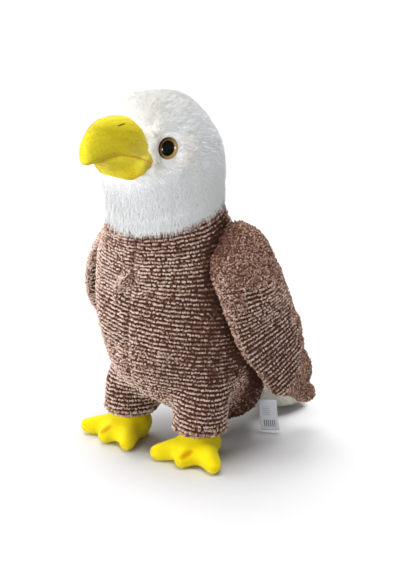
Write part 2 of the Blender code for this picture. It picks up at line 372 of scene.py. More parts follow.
def skinOver(name, shapes, cloth):
    # one even skin round some shapes, sunk by the depth of the pile
    whole = bmesh.new()
    for shape in shapes:
        mesh = bpy.data.meshes.new("part")
        shape.to_mesh(mesh)
        shape.free()
        whole.from_mesh(mesh)
        bpy.data.meshes.remove(mesh)
    skin = addPiece(name, whole)
    weld = skin.modifiers.new("one skin", 'REMESH')
    weld.mode = 'VOXEL'
    weld.voxel_size = cloth["grid"]
    relax = skin.modifiers.new("relax", 'SMOOTH')
    relax.factor = 0.5
    relax.iterations = cloth["relaxing"]
    sink = skin.modifiers.new("room for the pile", 'DISPLACE')
    sink.strength = -cloth["depth"]
    sink.mid_level = 0.0
    bakeModifiers(skin)
    skin.data.shade_smooth()
    return skin


def readVerts(mesh, what="co"):
    values = np.empty(len(mesh.vertices) * 3)
    mesh.vertices.foreach_get(what, values)
    return values.reshape(-1, 3)


def writeVerts(mesh, points):
    mesh.vertices.foreach_set("co", points.astype(np.float32).ravel())
    mesh.update()


def smoothWhere(mesh, points, share, rounds):
    # draws each point towards its neighbours, as far as share says
    ends = np.empty(len(mesh.edges) * 2, np.int32)
    mesh.edges.foreach_get("vertices", ends)
    a, b = ends.reshape(-1, 2).T
    first = np.concatenate((a, b))
    second = np.concatenate((b, a))
    number = len(points)
    near = np.bincount(first, minlength=number)[:, None]
    for _ in range(rounds):
        total = np.stack([np.bincount(first, points[second, k], number) for k in range(3)], axis=1)
        points = points + share[:, None] * 0.5 * (total / near - points)
    return points


def setValue(mesh, name, values):
    made = mesh.attributes.get(name) or mesh.attributes.new(name, 'FLOAT', 'POINT')
    made.data.foreach_set("value", np.asarray(values, np.float32))


def setFacing(mesh, ways):
    made = mesh.attributes.get("facing") or mesh.attributes.new("facing", 'FLOAT_VECTOR', 'POINT')
    made.data.foreach_set("vector", np.asarray(ways, np.float32).ravel())


layout = {"angle": math.radians(66), "margin": 0.004}


def layFlat(skin):
    # the flat layout that colours are laid on, from the skin's own shape
    bpy.ops.object.select_all(action='DESELECT')
    skin.select_set(True)
    bpy.context.view_layer.objects.active = skin
    for layer in list(skin.data.uv_layers):
        skin.data.uv_layers.remove(layer)
    skin.data.uv_layers.new(name="OFBake")
    bpy.ops.object.mode_set(mode='EDIT')
    bpy.ops.mesh.select_all(action='SELECT')
    bpy.ops.uv.smart_project(angle_limit=layout["angle"], island_margin=layout["margin"])
    bpy.ops.object.mode_set(mode='OBJECT')


class Surface:
    # a skin's triangles, to set tufts on
    def __init__(self, skin):
        mesh = skin.data
        mesh.calc_loop_triangles()
        count = len(mesh.loop_triangles)
        self.points = readVerts(mesh)
        self.normals = readVerts(mesh, "normal")
        corners = np.empty(count * 3, np.int32)
        mesh.loop_triangles.foreach_get("vertices", corners)
        self.corners = corners.reshape(-1, 3)
        loops = np.empty(count * 3, np.int32)
        mesh.loop_triangles.foreach_get("loops", loops)
        self.loops = loops.reshape(-1, 3)
        flat = np.empty(len(mesh.loops) * 2)
        mesh.uv_layers["OFBake"].uv.foreach_get("vector", flat)
        self.flat = flat.reshape(-1, 2)
        self.tree = BVHTree.FromPolygons(self.points.tolist(), self.corners.tolist())

    def areas(self):
        a, b, c = (self.points[self.corners[:, k]] for k in range(3))
        return np.linalg.norm(np.cross(b - a, c - a), axis=1) / 2

    def scatter(self, perSquare, seed):
        # random places, so many to the square metre
        dice = np.random.default_rng(seed)
        a, b, c = (self.points[self.corners[:, k]] for k in range(3))
        area = self.areas()
        count = int(area.sum() * perSquare / thinning)
        face = dice.choice(len(area), count, p=area / area.sum())
        s, t = np.sqrt(dice.random(count)), dice.random(count)
        return a[face] * (1 - s)[:, None] + b[face] * (s * (1 - t))[:, None] + c[face] * (s * t)[:, None]

    def land(self, points):
        # the nearest places on the skin, which way is out there, and where they are laid flat
        landed = np.empty((len(points), 3))
        faces = np.empty(len(points), np.int32)
        for k, point in enumerate(points.tolist()):
            place, _, face, _ = self.tree.find_nearest(point)
            landed[k] = place
            faces[k] = face
        a, b, c = (self.points[self.corners[faces, k]] for k in range(3))
        whole = np.cross(b - a, c - a)
        size = (whole * whole).sum(1) + 1e-30
        shareB = (np.cross(landed - a, c - a) * whole).sum(1) / size
        shareC = (np.cross(b - a, landed - a) * whole).sum(1) / size
        shares = np.clip(np.stack((1 - shareB - shareC, shareB, shareC), axis=1), 0, 1)
        out = unit((self.normals[self.corners[faces]] * shares[:, :, None]).sum(1))
        flat = (self.flat[self.loops[faces]] * shares[:, :, None]).sum(1)
        return landed, out, flat


def shadeSkin(skin):
    # under the pile the cloth has a root's colour
    for value, amount in plush["skin"].items():
        setValue(skin.data, value, np.full(len(skin.data.vertices), amount))


def dress(skin, finish, nodes):
    # a finished skin gets its layout and its cloth, and takes the place of its solids
    layFlat(skin)
    skin.data.materials.clear()
    skin.data.materials.append(finish)
    onToy(skin)
    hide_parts(*nodes)
    return Surface(skin)


def insideOf(surface, points):
    # true for the points that a closed skin has round them, by counting its walls overhead
    ray = Vector((0.02, 0.03, 1.0)).normalized()    # a little off upright, so that it misses edges
    inside = np.zeros(len(points), bool)
    for k, point in enumerate(points.tolist()):
        start = Vector(point)
        place = surface.tree.ray_cast(start, ray)[0]
        while place is not None:
            inside[k] = not inside[k]
            place = surface.tree.ray_cast(place + ray * 0.01 * mm, ray)[0]
    return inside


def distances(surface, points):
    # how far each point is outside a closed skin; below nought is inside
    gap = np.linalg.norm(points - surface.land(points)[0], axis=1)
    return np.where(insideOf(surface, points), -gap, gap)


def spaced(points, gaps):
    # indices of the points that are left when each keeps its own gap from those before it
    cells = {}
    kept = []
    size = gaps.max()
    around = [(i, j, k) for i in (-1, 0, 1) for j in (-1, 0, 1) for k in (-1, 0, 1)]
    keys = np.floor(points / size).astype(int).tolist()
    limits = (gaps * gaps).tolist()
    for index, ((i, j, k), (x, y, z)) in enumerate(zip(keys, points.tolist())):
        limit = limits[index]
        clear = True
        for di, dj, dk in around:
            for px, py, pz in cells.get((i + di, j + dj, k + dk), ()):
                if (px - x) ** 2 + (py - y) ** 2 + (pz - z) ** 2 < limit:
                    clear = False
                    break
            if not clear:
                break
        if clear:
            cells.setdefault((i, j, k), []).append((x, y, z))
            kept.append(index)
    return np.array(kept)


def ringMiddle(ring):
    return sum((vert.co for vert in ring), Vector()) / len(ring)


def grow(shape, edges):
    # a new ring joined to the last one, still in the same place
    grown = bmesh.ops.extrude_edge_only(shape, edges=edges)["geom"]
    ring = [item for item in grown if isinstance(item, bmesh.types.BMVert)]
    return ring, [item for item in grown if isinstance(item, bmesh.types.BMEdge)]


def closeEnds(shape):
    bmesh.ops.holes_fill(shape, edges=[edge for edge in shape.edges if edge.is_boundary])


def tuftArrays(shape):
    # a tuft's points, triangles, height along it and its own small layout
    bmesh.ops.recalc_face_normals(shape, faces=shape.faces)
    bmesh.ops.triangulate(shape, faces=shape.faces)
    shape.verts.index_update()
    points = np.array([vert.co for vert in shape.verts])
    faces = np.array([[vert.index for vert in face.verts] for face in shape.faces])
    shape.free()
    rise = ramp(points[:, 2], points[:, 2].min(), points[:, 2].max())
    low, high = points.min(0), points.max(0)
    patch = (points[:, :2] - low[:2]) / (high - low)[:2]
    patch[:, 1] = (patch[:, 1] + rise) / 2
    return {"points": points, "faces": faces, "rise": rise, "patch": patch}


def loopTuft(radius, yarn, sides, steps):
    # half a ring of yarn, both ends in the cloth
    shape = bmesh.new()
    ring = bmesh.ops.create_circle(shape, segments=sides, radius=yarn / 2)["verts"]
    bmesh.ops.translate(shape, verts=ring, vec=(-radius, 0, 0))
    bmesh.ops.spin(shape, geom=shape.verts[:] + shape.edges[:], cent=(0, 0, 0), axis=(0, 1, 0),
                   angle=math.pi, steps=steps)
    closeEnds(shape)
    return tuftArrays(shape)


lockShape = {"flat": 0.6, "slim": 0.75, "point": 0.02}


def lockTuft(pile, sides, joints):
    # a tapered lock that leans over from its root and runs out to a point along +X
    shape = bmesh.new()
    ring = bmesh.ops.create_circle(shape, segments=sides, radius=pile["width"] / 2)["verts"]
    bmesh.ops.scale(shape, verts=ring, vec=(lockShape["flat"], 1.0, 1.0))
    edges = shape.edges[:]
    for joint in range(1, joints + 1):
        share = joint / joints
        before = (joint - 1) / joints
        rise = pile["lift"] * ((1 - (1 - share) ** 2) - (1 - (1 - before) ** 2))
        ring, edges = grow(shape, edges)
        bmesh.ops.translate(shape, verts=ring, vec=(pile["length"] * (share - before), 0, rise))
        slim = lockShape["point"] if joint == joints else lockShape["slim"]
        bmesh.ops.scale(shape, verts=ring, vec=(slim, slim, slim),
                        space=Matrix.Translation(-ringMiddle(ring)))
    bmesh.ops.pointmerge(shape, verts=ring, merge_co=ringMiddle(ring))
    closeEnds(shape)
    return tuftArrays(shape)


def plant(name, tuft, roots, finish):
    # one copy of the tuft at every root, joined into as few pieces as the limit allows
    along, out = roots["along"], roots["out"]
    across = np.cross(out, along)
    total = len(along)
    perPiece = facesPerPiece // len(tuft["faces"])
    for number, start in enumerate(range(0, total, perPiece)):
        some = slice(start, min(start + perPiece, total))
        count = some.stop - some.start
        local = tuft["points"][None] * roots["size"][some, None, :]
        points = (roots["place"][some, None, :] + local[:, :, 0:1] * along[some, None, :]
                  + local[:, :, 1:2] * across[some, None, :] + local[:, :, 2:3] * out[some, None, :])
        points[:, :, 2] = np.maximum(points[:, :, 2], 0)
        nodes = len(tuft["points"])
        faces = tuft["faces"][None] + (np.arange(count) * nodes)[:, None, None]
        flat = roots["flat"][some, None, :] + (tuft["patch"][None] - 0.5) * patchWidth
        corners = faces.ravel().astype(np.int32)
        mesh = bpy.data.meshes.new(f"{name}_{number + 1}")
        mesh.vertices.add(count * nodes)
        mesh.loops.add(len(corners))
        mesh.polygons.add(len(corners) // 3)
        mesh.loops.foreach_set("vertex_index", corners)
        mesh.polygons.foreach_set("loop_start", np.arange(0, len(corners), 3, dtype=np.int32))
        mesh.uv_layers.new(name="OFBake")
        mesh.uv_layers["OFBake"].uv.foreach_set(
            "vector", np.clip(flat.reshape(-1, 2), 0, 1)[corners].astype(np.float32).ravel())
        writeVerts(mesh, points.reshape(-1, 3))
        setValue(mesh, "rise", np.tile(tuft["rise"], count))
        for value in ("shade", "press", "crest"):
            if value in roots:
                setValue(mesh, value, np.repeat(roots[value][some], nodes))
        if "facing" in roots:
            setFacing(mesh, np.repeat(roots["facing"][some], nodes, axis=0))
        mesh.update(calc_edges=True)
        mesh.shade_smooth()
        mesh.materials.append(finish)
        piece = link(mesh.name, mesh)
        onToy(piece)
    tell(f"{name}: {total} tufts in {number + 1} pieces")


def takeRoots(roots, keep):
    return {key: values[keep] for key, values in roots.items()}


knit = {
    "grid": 1.8 * mm, "relaxing": 6, "depth": 1.5 * mm,
    "rowPitch": 3.5 * mm, "alongRow": 1.54 * mm, "between": 1.25 * mm, "crowd": 3.6,
    "wobble": 0.36 * mm, "wobblePitch": 8 * mm, "strand": 0.42 * mm, "strays": 0.03 / mm ** 2,
    "loopRadius": 0.62 * mm, "yarn": 1.25 * mm, "sunk": 0.25 * mm, "curl": 0.55, "lean": 0.34,
    "uneven": 0.18, "sizes": (0.6, 1.6), "tall": 1.25, "taller": 0.45, "straySize": (0.85, 0.7, 0.7),
    "ruffledSize": (1.2, 1.1, 1.0), "ruffledRib": 0.8,
}
# how pale the yarn is: overall, in patches, from knot to knot and from loop to loop, and how far a crease's
# painted shade reaches
yarnShade = {"even": 0.735, "patch": 0.13, "patchSize": 7 * mm, "knot": 0.17, "loop": 0.08,
             "ruffled": 0.18, "ruffledShare": 0.5, "stray": 0.45, "creaseReach": 13 * mm,
             "creaseTouch": 0.5 * mm}
# the wing's own frame: its root, the way it hangs, and how its rows lie
wingFrame = {
    "rootY": -13.24 * mm, "rootUp": 2.5 * mm, "slope": math.radians(64.7), "pitch": 4.3 * mm,
    "middle": -36 * mm, "climb": 0.75, "face": 70 * mm, "level": (30 * mm, 135 * mm),
    "outward": (45 * mm, 85 * mm), "rolled": (0.5, 0.8),
}
# where the wing's rows show: from under the shoulder to above the tip, and not near the rear edge
wingTidy = {
    "shoulder": (32 * mm, 50 * mm), "shoulderTilt": 0.5, "rear": (-6 * mm, 8 * mm),
    "tip": (142 * mm, 156 * mm), "tipTilt": 0.8, "tipBack": 20 * mm, "patches": (-1.5, -1.1),
    "patchSize": 45 * mm,
}
# the rows of the front: they fall to the seam from the right, and climb a little on the left
bodyLie = {"chevron": 0.27, "reach": 18 * mm, "leftSlant": 0.19, "leftReach": 25 * mm, "steady": 0.75,
           "steepFrom": (60 * mm, 110 * mm), "steepBelow": (4 * mm, 24 * mm),
           "steadyFrom": (135 * mm, 165 * mm), "collarReach": 55 * mm, "rear": 30 * mm}
# where the body's rows break up
bodyTidy = {"collar": (2 * mm, 10 * mm), "seam": 1.2 * mm, "seamLow": 60 * mm, "fold": 5 * mm,
            "rear": (-8 * mm, 18 * mm), "patchSize": 45 * mm, "patches": (-0.4, 0.3),
            "wornSize": 26 * mm, "worn": (0.6, 1.5), "corner": at(-27, -74, 186),
            "cornerReach": 9 * mm, "belly": 84 * mm, "bellyReach": 14 * mm, "bellySide": (5 * mm, 35 * mm),
            "atCollar": 0.3, "atSeam": 0.6, "atFold": 0.9, "atCorner": 0.8, "atBelly": 0.5}
# the front seam runs from the collar to the belly, and leans a little
seam = {"topX": 14.5 * mm, "topZ": 190 * mm, "lowX": 1.5 * mm, "lowZ": 92 * mm, "groove": 2.0 * mm,
        "width": 2.2 * mm, "fadesBack": 30 * mm, "fadesLow": (50 * mm, 75 * mm)}
# a sewn-in fold beside the seam
fold = {"from": at(12, -85, 160), "to": at(-6, -84, 143), "beside": at(-4, 0, 4), "ridge": 3.0 * mm,
        "ridgeWidth": 3.0 * mm, "hollow": 4.5 * mm, "hollowWidth": 3.2 * mm}
# dimples and bulges low on the belly and at the flanks: place, reach and depth
dents = (((18, -80, 86), 5.0, 2.2), ((23, -77, 77), 5.0, 1.8), ((-16, -79, 92), 7.0, 1.6),
         ((45, -68, 92), 9.0, 1.6), ((50, -62, 130), 12.0, 1.8),
         ((-43, -66, 116), 28.0, -5.0), ((-47, -60, 158), 26.0, -3.0))
# the legs are smoothed into the belly between these heights, and the cloth is a little lumpy
hips = {"low": (36 * mm, 56 * mm), "high": (92 * mm, 120 * mm), "rounds": 60, "lumps": 0.7 * mm,
        "lumpSize": 38 * mm, "lumpsFrom": (40 * mm, 60 * mm)}


def seamX(z):
    share = (seam["topZ"] - z) / (seam["topZ"] - seam["lowZ"])
    return seam["topX"] + (seam["lowX"] - seam["topX"]) * np.clip(share, 0, 1.3)


def wingPlace(points):
    # how far down the wing and how far back across it
    y = points[:, 1] - wingFrame["rootY"]
    z = points[:, 2] - (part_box("wing_left")[1].z + wingFrame["rootUp"])
    slope = wingFrame["slope"]
    return y * math.cos(slope) - z * math.sin(slope), y * math.sin(slope) + z * math.cos(slope)


def wingRows(points):
    # rows run straight across the wing, and level out towards the shoulder
    down, back = wingPlace(points)
    level = (1 - ease(down, *wingFrame["level"])) / math.tan(wingFrame["slope"])
    fromFace = np.abs(points[:, 0]) - wingFrame["face"]
    outward = wingFrame["climb"] * fromFace * ease(down, *wingFrame["outward"])
    height = level * (back - wingFrame["middle"]) - down - outward
    return height * knit["rowPitch"] / wingFrame["pitch"]


def rolled(out):
    # near one on the front edge of a wing, where the cloth is rolled over
    return ease(-out[:, 1], *wingFrame["rolled"])


def wingOrder(points, out):
    # one where the wing's rows are clear, nought where the knit is ruffled
    down, back = wingPlace(points)
    fromShoulder = down - wingTidy["shoulderTilt"] * (back - wingFrame["middle"])
    toTip = down + wingTidy["tipTilt"] * (back + wingTidy["tipBack"])
    tidy = ease(fromShoulder, *wingTidy["shoulder"]) * (1 - ease(back, *wingTidy["rear"]))
    tidy *= 1 - ease(toTip, *wingTidy["tip"])
    patches = drift(points, wingTidy["patchSize"], seeds["wing_patches"])
    return tidy * ease(patches, *wingTidy["patches"]) * (1 - rolled(out))


def bodyRows(points):
    # rows meet at the front seam: they come down to it on one side and run on nearly level
    x, y, z = points.T
    fromSeam = x - seamX(z)
    below = seamHeight(y) - z
    toLeft, toRight = np.maximum(fromSeam, 0), np.maximum(-fromSeam, 0)
    steep = bodyLie["chevron"] * ease(z, *bodyLie["steepFrom"]) * ramp(below, *bodyLie["steepBelow"])
    right = steep * bodyLie["reach"] * (1 - np.exp(-toRight / bodyLie["reach"]))
    left = bodyLie["leftSlant"] * toLeft ** 2 / (toLeft + bodyLie["leftReach"])
    left = left * (1 - bodyLie["steady"] * ease(z, *bodyLie["steadyFrom"]))
    front = 1 - ease(y, bodyAxis.y, bodyAxis.y + bodyLie["rear"])
    follow = 1 - ramp(below, 0, bodyLie["collarReach"])
    return z - right + left * front - neckTilt * (y - bodyAxis.y) * follow


def bodyOrder(points, out):
    # one where the body's rows are clear, nought where the knit is ruffled
    x, y, z = points.T
    collar = ease(seamHeight(y) - z, *bodyTidy["collar"])
    seamed = bell(x - seamX(z), bodyTidy["seam"]) * (y < bodyAxis.y) * (z > bodyTidy["seamLow"])
    folded = bell(fromLine(points, fold["from"], fold["to"]), bodyTidy["fold"])
    rearStart, rearEnd = bodyTidy["rear"]
    rearward = ease(y, bodyAxis.y + rearStart, bodyAxis.y + rearEnd)
    patches = ease(drift(points, bodyTidy["patchSize"], seeds["body_patches"]), *bodyTidy["patches"])
    corner = bell(howFar(points, bodyTidy["corner"]), bodyTidy["cornerReach"])
    belly = bell(z - bodyTidy["belly"], bodyTidy["bellyReach"]) * (1 - ease(x, *bodyTidy["bellySide"]))
    worn = ease(drift(points, bodyTidy["wornSize"], seeds["body_worn"]), *bodyTidy["worn"])
    tidy = (1 - rearward * (1 - patches)) * (bodyTidy["atCollar"] + (1 - bodyTidy["atCollar"]) * collar)
    tidy = tidy * (1 - bodyTidy["atSeam"] * seamed) * (1 - bodyTidy["atFold"] * folded)
    tidy = tidy * (1 - bodyTidy["atCorner"] * corner) * (1 - bodyTidy["atBelly"] * belly)
    return tidy * (1 - worn)


def fromLine(points, start, end):
    # distance from a straight line between two places
    way = end - start
    share = np.clip((points - start) @ way / (way @ way), 0, 1)
    return np.linalg.norm(points - start - share[:, None] * way, axis=1)


def gradient(field, points):
    step = 0.2 * mm
    steps = np.eye(3) * step
    return np.stack([(field(points + s) - field(points - s)) / (2 * step) for s in steps], axis=1)


def toRow(points, out, rows, nearest):
    # which way the rows climb here, and how far it is to the row that nearest picks
    pitch = knit["rowPitch"]
    slope = flatten(gradient(rows, points), out)
    steep = np.sqrt((slope * slope).sum(1)) + 1e-4
    height = rows(points)
    return unit(slope), np.clip((nearest(height / pitch) * pitch - height) / steep, -pitch, pitch)


def between(height):
    return np.floor(height) + 0.5


def loopRoots(surface, rows, order, creaseShade, seed):
    # loops stand in rows where the knit is tidy and anywhere where it is ruffled
    dice = np.random.default_rng(seed)
    crowd = knit["crowd"] / (knit["alongRow"] * knit["rowPitch"])
    points, out, _ = surface.land(surface.scatter(crowd, seed + 1))
    count = len(points)
    tidy = order(points, out)
    climb, shift = toRow(points, out, rows, np.round)
    shift += knit["wobble"] * (drift(points, knit["wobblePitch"], seed + 2) + dice.normal(0, 0.5, count))
    inRow = dice.random(count) < tidy
    points = points + climb * (shift * inRow)[:, None]
    first = np.argsort(~inRow, kind="stable")
    points, inRow = points[first], inRow[first]
    kept = spaced(points, np.where(inRow, knit["alongRow"], knit["between"]))
    points, inRow = points[kept], inRow[kept]
    # every knot in a row is a pair of loops of one shade
    out = surface.land(points)[1]
    half = knit["strand"] * unit(np.cross(out, flatten(gradient(rows, points), out)))
    knot = dice.normal(0, yarnShade["knot"], len(points))
    points = np.concatenate((points - half * inRow[:, None], points[inRow] + half[inRow]))
    knot = np.concatenate((knot, knot[inRow]))
    inRow = np.concatenate((inRow, inRow[inRow]))
    # a few dark stray loops lie in the valleys
    valley, out, _ = surface.land(surface.scatter(knit["strays"], seed + 3))
    strays = len(valley)
    climb, shift = toRow(valley, out, rows, between)
    inValley = dice.random(strays) < order(valley, out)
    points = np.concatenate((points, valley + climb * (shift * inValley)[:, None]))
    inRow = np.concatenate((inRow, inValley))
    knot = np.concatenate((knot, np.zeros(strays)))
    number = len(points)
    stray = np.arange(number) >= number - strays
    # each loop stands across its row, or turned any way, and leans a little
    points, out, flat = surface.land(points)
    rowWay = unit(np.cross(out, flatten(gradient(rows, points), out)))
    across = np.cross(out, rowWay)
    turn = np.where(inRow, dice.normal(math.pi / 2, knit["curl"], number),
                    dice.uniform(-math.pi, math.pi, number))
    along = rowWay * np.cos(turn)[:, None] + across * np.sin(turn)[:, None]
    sideways = np.cross(out, along)
    lean = dice.normal(0, knit["lean"], number)
    stand = unit(out * np.cos(lean)[:, None] + sideways * np.sin(lean)[:, None])
    size = np.clip(dice.normal(1.0, knit["uneven"], (number, 3)), *knit["sizes"])
    size[:, 2] *= knit["tall"] + knit["taller"] * dice.random(number) ** 2
    size = np.where(stray[:, None], size * knit["straySize"], size)
    size = np.where(inRow[:, None], size, size * knit["ruffledSize"])
    shade = yarnShade["even"] + yarnShade["patch"] * drift(points, yarnShade["patchSize"], seed + 4)
    shade = shade + knot + dice.normal(0, yarnShade["loop"], number)
    shade = np.where(inRow, shade, yarnShade["ruffled"] + yarnShade["ruffledShare"] * shade)
    # painted shade in the creases, where the cloth touches another
    shade = np.where(stray, yarnShade["stray"] * shade, shade) - creaseShade(points)
    return {"place": points - stand * knit["sunk"], "out": stand, "along": along, "size": size,
            "flat": flat, "shade": np.clip(shade, 0, 1), "press": 1.0 - inRow}


def creaseShadeAt(others, strength):
    # painted shade: highest where two cloths touch, where it darkens the knit
    def closeness(points):
        reach = yarnShade["creaseReach"]
        near = np.full(len(points), reach)
        for k, point in enumerate(points.tolist()):
            for other in others:
                gap = other.tree.find_nearest(point, reach)[3]
                if gap is not None:
                    near[k] = min(near[k], gap)
        return strength * (1 - ease(near, yarnShade["creaseTouch"], reach))
    return closeness


def ribSkin(skin, rows, order):
    # how far each place is up the side of a rib, which sets the backing's painted shade
    points, out = readVerts(skin.data), readVerts(skin.data, "normal")
    wave = 0.5 + 0.5 * np.cos(2 * math.pi * rows(points) / knit["rowPitch"])
    tidy = order(points, out)
    setValue(skin.data, "rib", knit["ruffledRib"] * (1 - tidy) + wave * tidy)


yarn = boucleYarn()
backing = boucleBacking()
loop = loopTuft(knit["loopRadius"], knit["yarn"], sides=3, steps=3)


def shapeBody(skin):
    # smooth the legs into the belly, then press in the seam, the fold and the dimples
    points = readVerts(skin.data)
    share = ease(points[:, 2], *hips["low"]) * (1 - ease(points[:, 2], *hips["high"]))
    points = smoothWhere(skin.data, points, share, hips["rounds"])
    writeVerts(skin.data, points)
    out = readVerts(skin.data, "normal")
    x, y, z = points.T
    front = ease(bodyAxis.y - y, 0, seam["fadesBack"])
    groove = seam["groove"] * bell(x - seamX(z), seam["width"]) * front * ease(z, *seam["fadesLow"])
    ridge = fold["ridge"] * bell(fromLine(points, fold["from"], fold["to"]), fold["ridgeWidth"])
    beside = fromLine(points + fold["beside"], fold["from"], fold["to"])
    hollow = fold["hollow"] * bell(beside, fold["hollowWidth"])
    lumps = hips["lumps"] * drift(points, hips["lumpSize"], seeds["body_lumps"])
    lumps = lumps * ease(z, *hips["lumpsFrom"])
    sink = groove + hollow - ridge - lumps
    for place, reach, depth in dents:
        sink += depth * mm * bell(howFar(points, at(*place)), reach * mm)
    writeVerts(skin.data, points - out * sink[:, None])


tell("brown cloth")
bodyNodes = ("trunk", "leg_left", "leg_right")
bodySkin = skinOver("body", [nodeShape(node) for node in bodyNodes], knit)
shapeBody(bodySkin)
ribSkin(bodySkin, bodyRows, bodyOrder)
bodySurface = dress(bodySkin, backing, bodyNodes)

# how the front edge of each wing is drawn out past its solid: which way, at what height
puff = {"right": {"way": at(-6.6, -5.8, 0), "height": 98 * mm, "reach": 34 * mm},
        "left": {"way": at(0.5, -8.5, 0), "height": 88 * mm, "reach": 36 * mm},
        "front": (-62 * mm, -30 * mm)}
# how the lower hem hangs out, and the rear edge below the middle
hem = {"place": at(73, 20, 50), "reach": 20 * mm, "way": at(0, -2, -6), "rear": 4.5 * mm,
       "rearFrom": (70 * mm, 120 * mm), "under": (0, 0.5), "behind": (0.1, 0.7)}
# dimples in both wings: place on the left one, reach and depth
tufted = (((87, -26, 141), 5.0, 3.0), ((86, 8, 87), 6.0, 1.6), ((86, 15, 118), 6.0, 1.6),
          ((81, 41, 88), 4.5, 4.0), ((78, 58, 50), 5.0, 4.0), ((82, 28, 112), 5.0, 1.5))
# the wing's painted light and shade: painted shade in the first dimple, in the crease against the body and
# over the whole wing; the rolled front edge is paler, partly its own paler hem and partly painted light; the
# right wing, on the lit side, is painted paler
wingLook = {"lumps": 0.6 * mm, "lumpSize": 30 * mm, "stitch": 0.5, "dimpleReach": 4 * mm,
            "creaseShade": 0.45, "darker": 0.12, "rolled": 0.14, "paler": {"left": 0.0, "right": 0.25}}
wingSurfaces = {}
for word, flip in (("left", 1), ("right", -1)):
    node = "wing_" + word
    skin = skinOver(node + "_cloth", [nodeShape(node)], knit)
    points, out = readVerts(skin.data), readVerts(skin.data, "normal")
    drawn = puff[word]
    share = bell(points[:, 2] - drawn["height"], drawn["reach"])
    share *= 1 - ease(wingPlace(points)[1], *puff["front"])
    points = points + share[:, None] * drawn["way"]
    lumps = wingLook["lumps"] * drift(points, wingLook["lumpSize"], seeds[node] + 9)
    points = points + out * lumps[:, None]
    leftSide = points * (flip, 1, 1)
    full = bell(howFar(leftSide, hem["place"]), hem["reach"]) * ease(-out[:, 2], *hem["under"])
    points = points + full[:, None] * hem["way"]
    rear = ease(out[:, 1], *hem["behind"]) * ease(wingPlace(points)[0], *hem["rearFrom"])
    points[:, 1] += hem["rear"] * rear
    leftSide = points * (flip, 1, 1)
    for place, reach, depth in tufted:
        sink = depth * mm * bell(howFar(leftSide, at(*place)), reach * mm)
        points = points - out * sink[:, None]
    writeVerts(skin.data, points)
    ribSkin(skin, wingRows, wingOrder)
    wingSurfaces[word] = dress(skin, backing, [node])

# how much painted light or shade changes the body's yarn: painted light on the fold's ridge; painted shade
# in its hollow, in the seam groove, under the edge of the white collar, low at the rear, on the flank under
# the wing and in the creases against the wings; the hems and a band below the collar are darker
bodyShade = {"flapLight": 0.2, "shadow": 0.5, "seamShade": 0.3, "cuff": 0.2, "collar": 0.35, "yoke": 0.16,
             "under": 0.45, "flank": 0.3, "creaseShade": 0.8}
# where each of these starts and ends: a height, a depth below the collar, or a place across the body
zone = {"flapLight": 3 * mm, "shadow": 2.6 * mm, "seamShade": 1.6 * mm, "sewnLow": (60 * mm, 80 * mm),
        "cuff": (27 * mm, 33 * mm), "collar": (1 * mm, 4 * mm), "collarTop": -3 * mm,
        "yoke": (4 * mm, 30 * mm), "underRear": (-10 * mm, 15 * mm), "underTop": (50 * mm, 80 * mm),
        "flankOut": (38 * mm, 60 * mm), "flankTop": (130 * mm, 175 * mm),
        "flankLow": (58 * mm, 74 * mm), "flankRear": (-14 * mm, 0)}
# the loops at the hems and the collar are bigger
bigger = {"cuff": 0.5, "collar": 0.3}
# painted shade where the body meets the wings
creaseShade = creaseShadeAt(list(wingSurfaces.values()), bodyShade["creaseShade"])
roots = loopRoots(bodySurface, bodyRows, bodyOrder, creaseShade, seeds["body"])
x, y, z = roots["place"].T
below = seamHeight(y) - z
flapLight = bell(fromLine(roots["place"], fold["from"], fold["to"]), zone["flapLight"])
shadow = bell(fromLine(roots["place"] + fold["beside"], fold["from"], fold["to"]), zone["shadow"])
seamShade = bell(x - seamX(z), zone["seamShade"]) * (y < bodyAxis.y) * ease(z, *zone["sewnLow"])
cuff = 1 - ease(z, *zone["cuff"])
collar = (1 - ease(below, *zone["collar"])) * (below > zone["collarTop"])
yoke = 1 - ease(below, *zone["yoke"])
under = ease(y, *zone["underRear"]) * (1 - ease(z, *zone["underTop"]))
flank = ease(x, *zone["flankOut"]) * (1 - ease(z, *zone["flankTop"]))
flank *= np.maximum(ease(z, *zone["flankLow"]), ease(y, *zone["flankRear"]))
darker = {"shadow": shadow, "seamShade": seamShade, "cuff": cuff, "collar": collar, "yoke": yoke, "under": under,
          "flank": flank}
# painted light on the fold's ridge, then painted shade in its hollow, the seam groove, under the collar's
# edge, low at the rear and on the flank; the hems and the band below the collar are darker
roots["shade"] += bodyShade["flapLight"] * flapLight
for word, amount in darker.items():
    roots["shade"] -= bodyShade[word] * amount
roots["shade"] = np.clip(roots["shade"], 0, 1)
roots["size"] *= (1 + bigger["cuff"] * cuff + bigger["collar"] * collar)[:, None]
plant("body_loops", loop, roots, yarn)
# painted shade where the wings meet the body
creaseShade = creaseShadeAt([bodySurface], wingLook["creaseShade"])
for word, flip in (("left", 1), ("right", -1)):
    surface = wingSurfaces[word]
    roots = loopRoots(surface, wingRows, wingOrder, creaseShade, seeds["wing_" + word])
    # painted shade in the dimple and over the wing, painted light on the rolled edge, and the right wing
    # painted paler
    edge = rolled(surface.land(roots["place"])[1])
    fromDimple = howFar(roots["place"] * (flip, 1, 1), at(*tufted[0][0]))
    roots["shade"] -= wingLook["stitch"] * bell(fromDimple, wingLook["dimpleReach"])
    roots["shade"] += wingLook["rolled"] * edge + wingLook["paler"][word] - wingLook["darker"]
    roots["shade"] = np.clip(roots["shade"], 0, 1)
    plant("wing_loops_" + word, loop, roots, yarn)


beak = {"grid": 1.0 * mm, "relaxing": 8, "depth": 0.6 * mm, "back": 9 * mm}
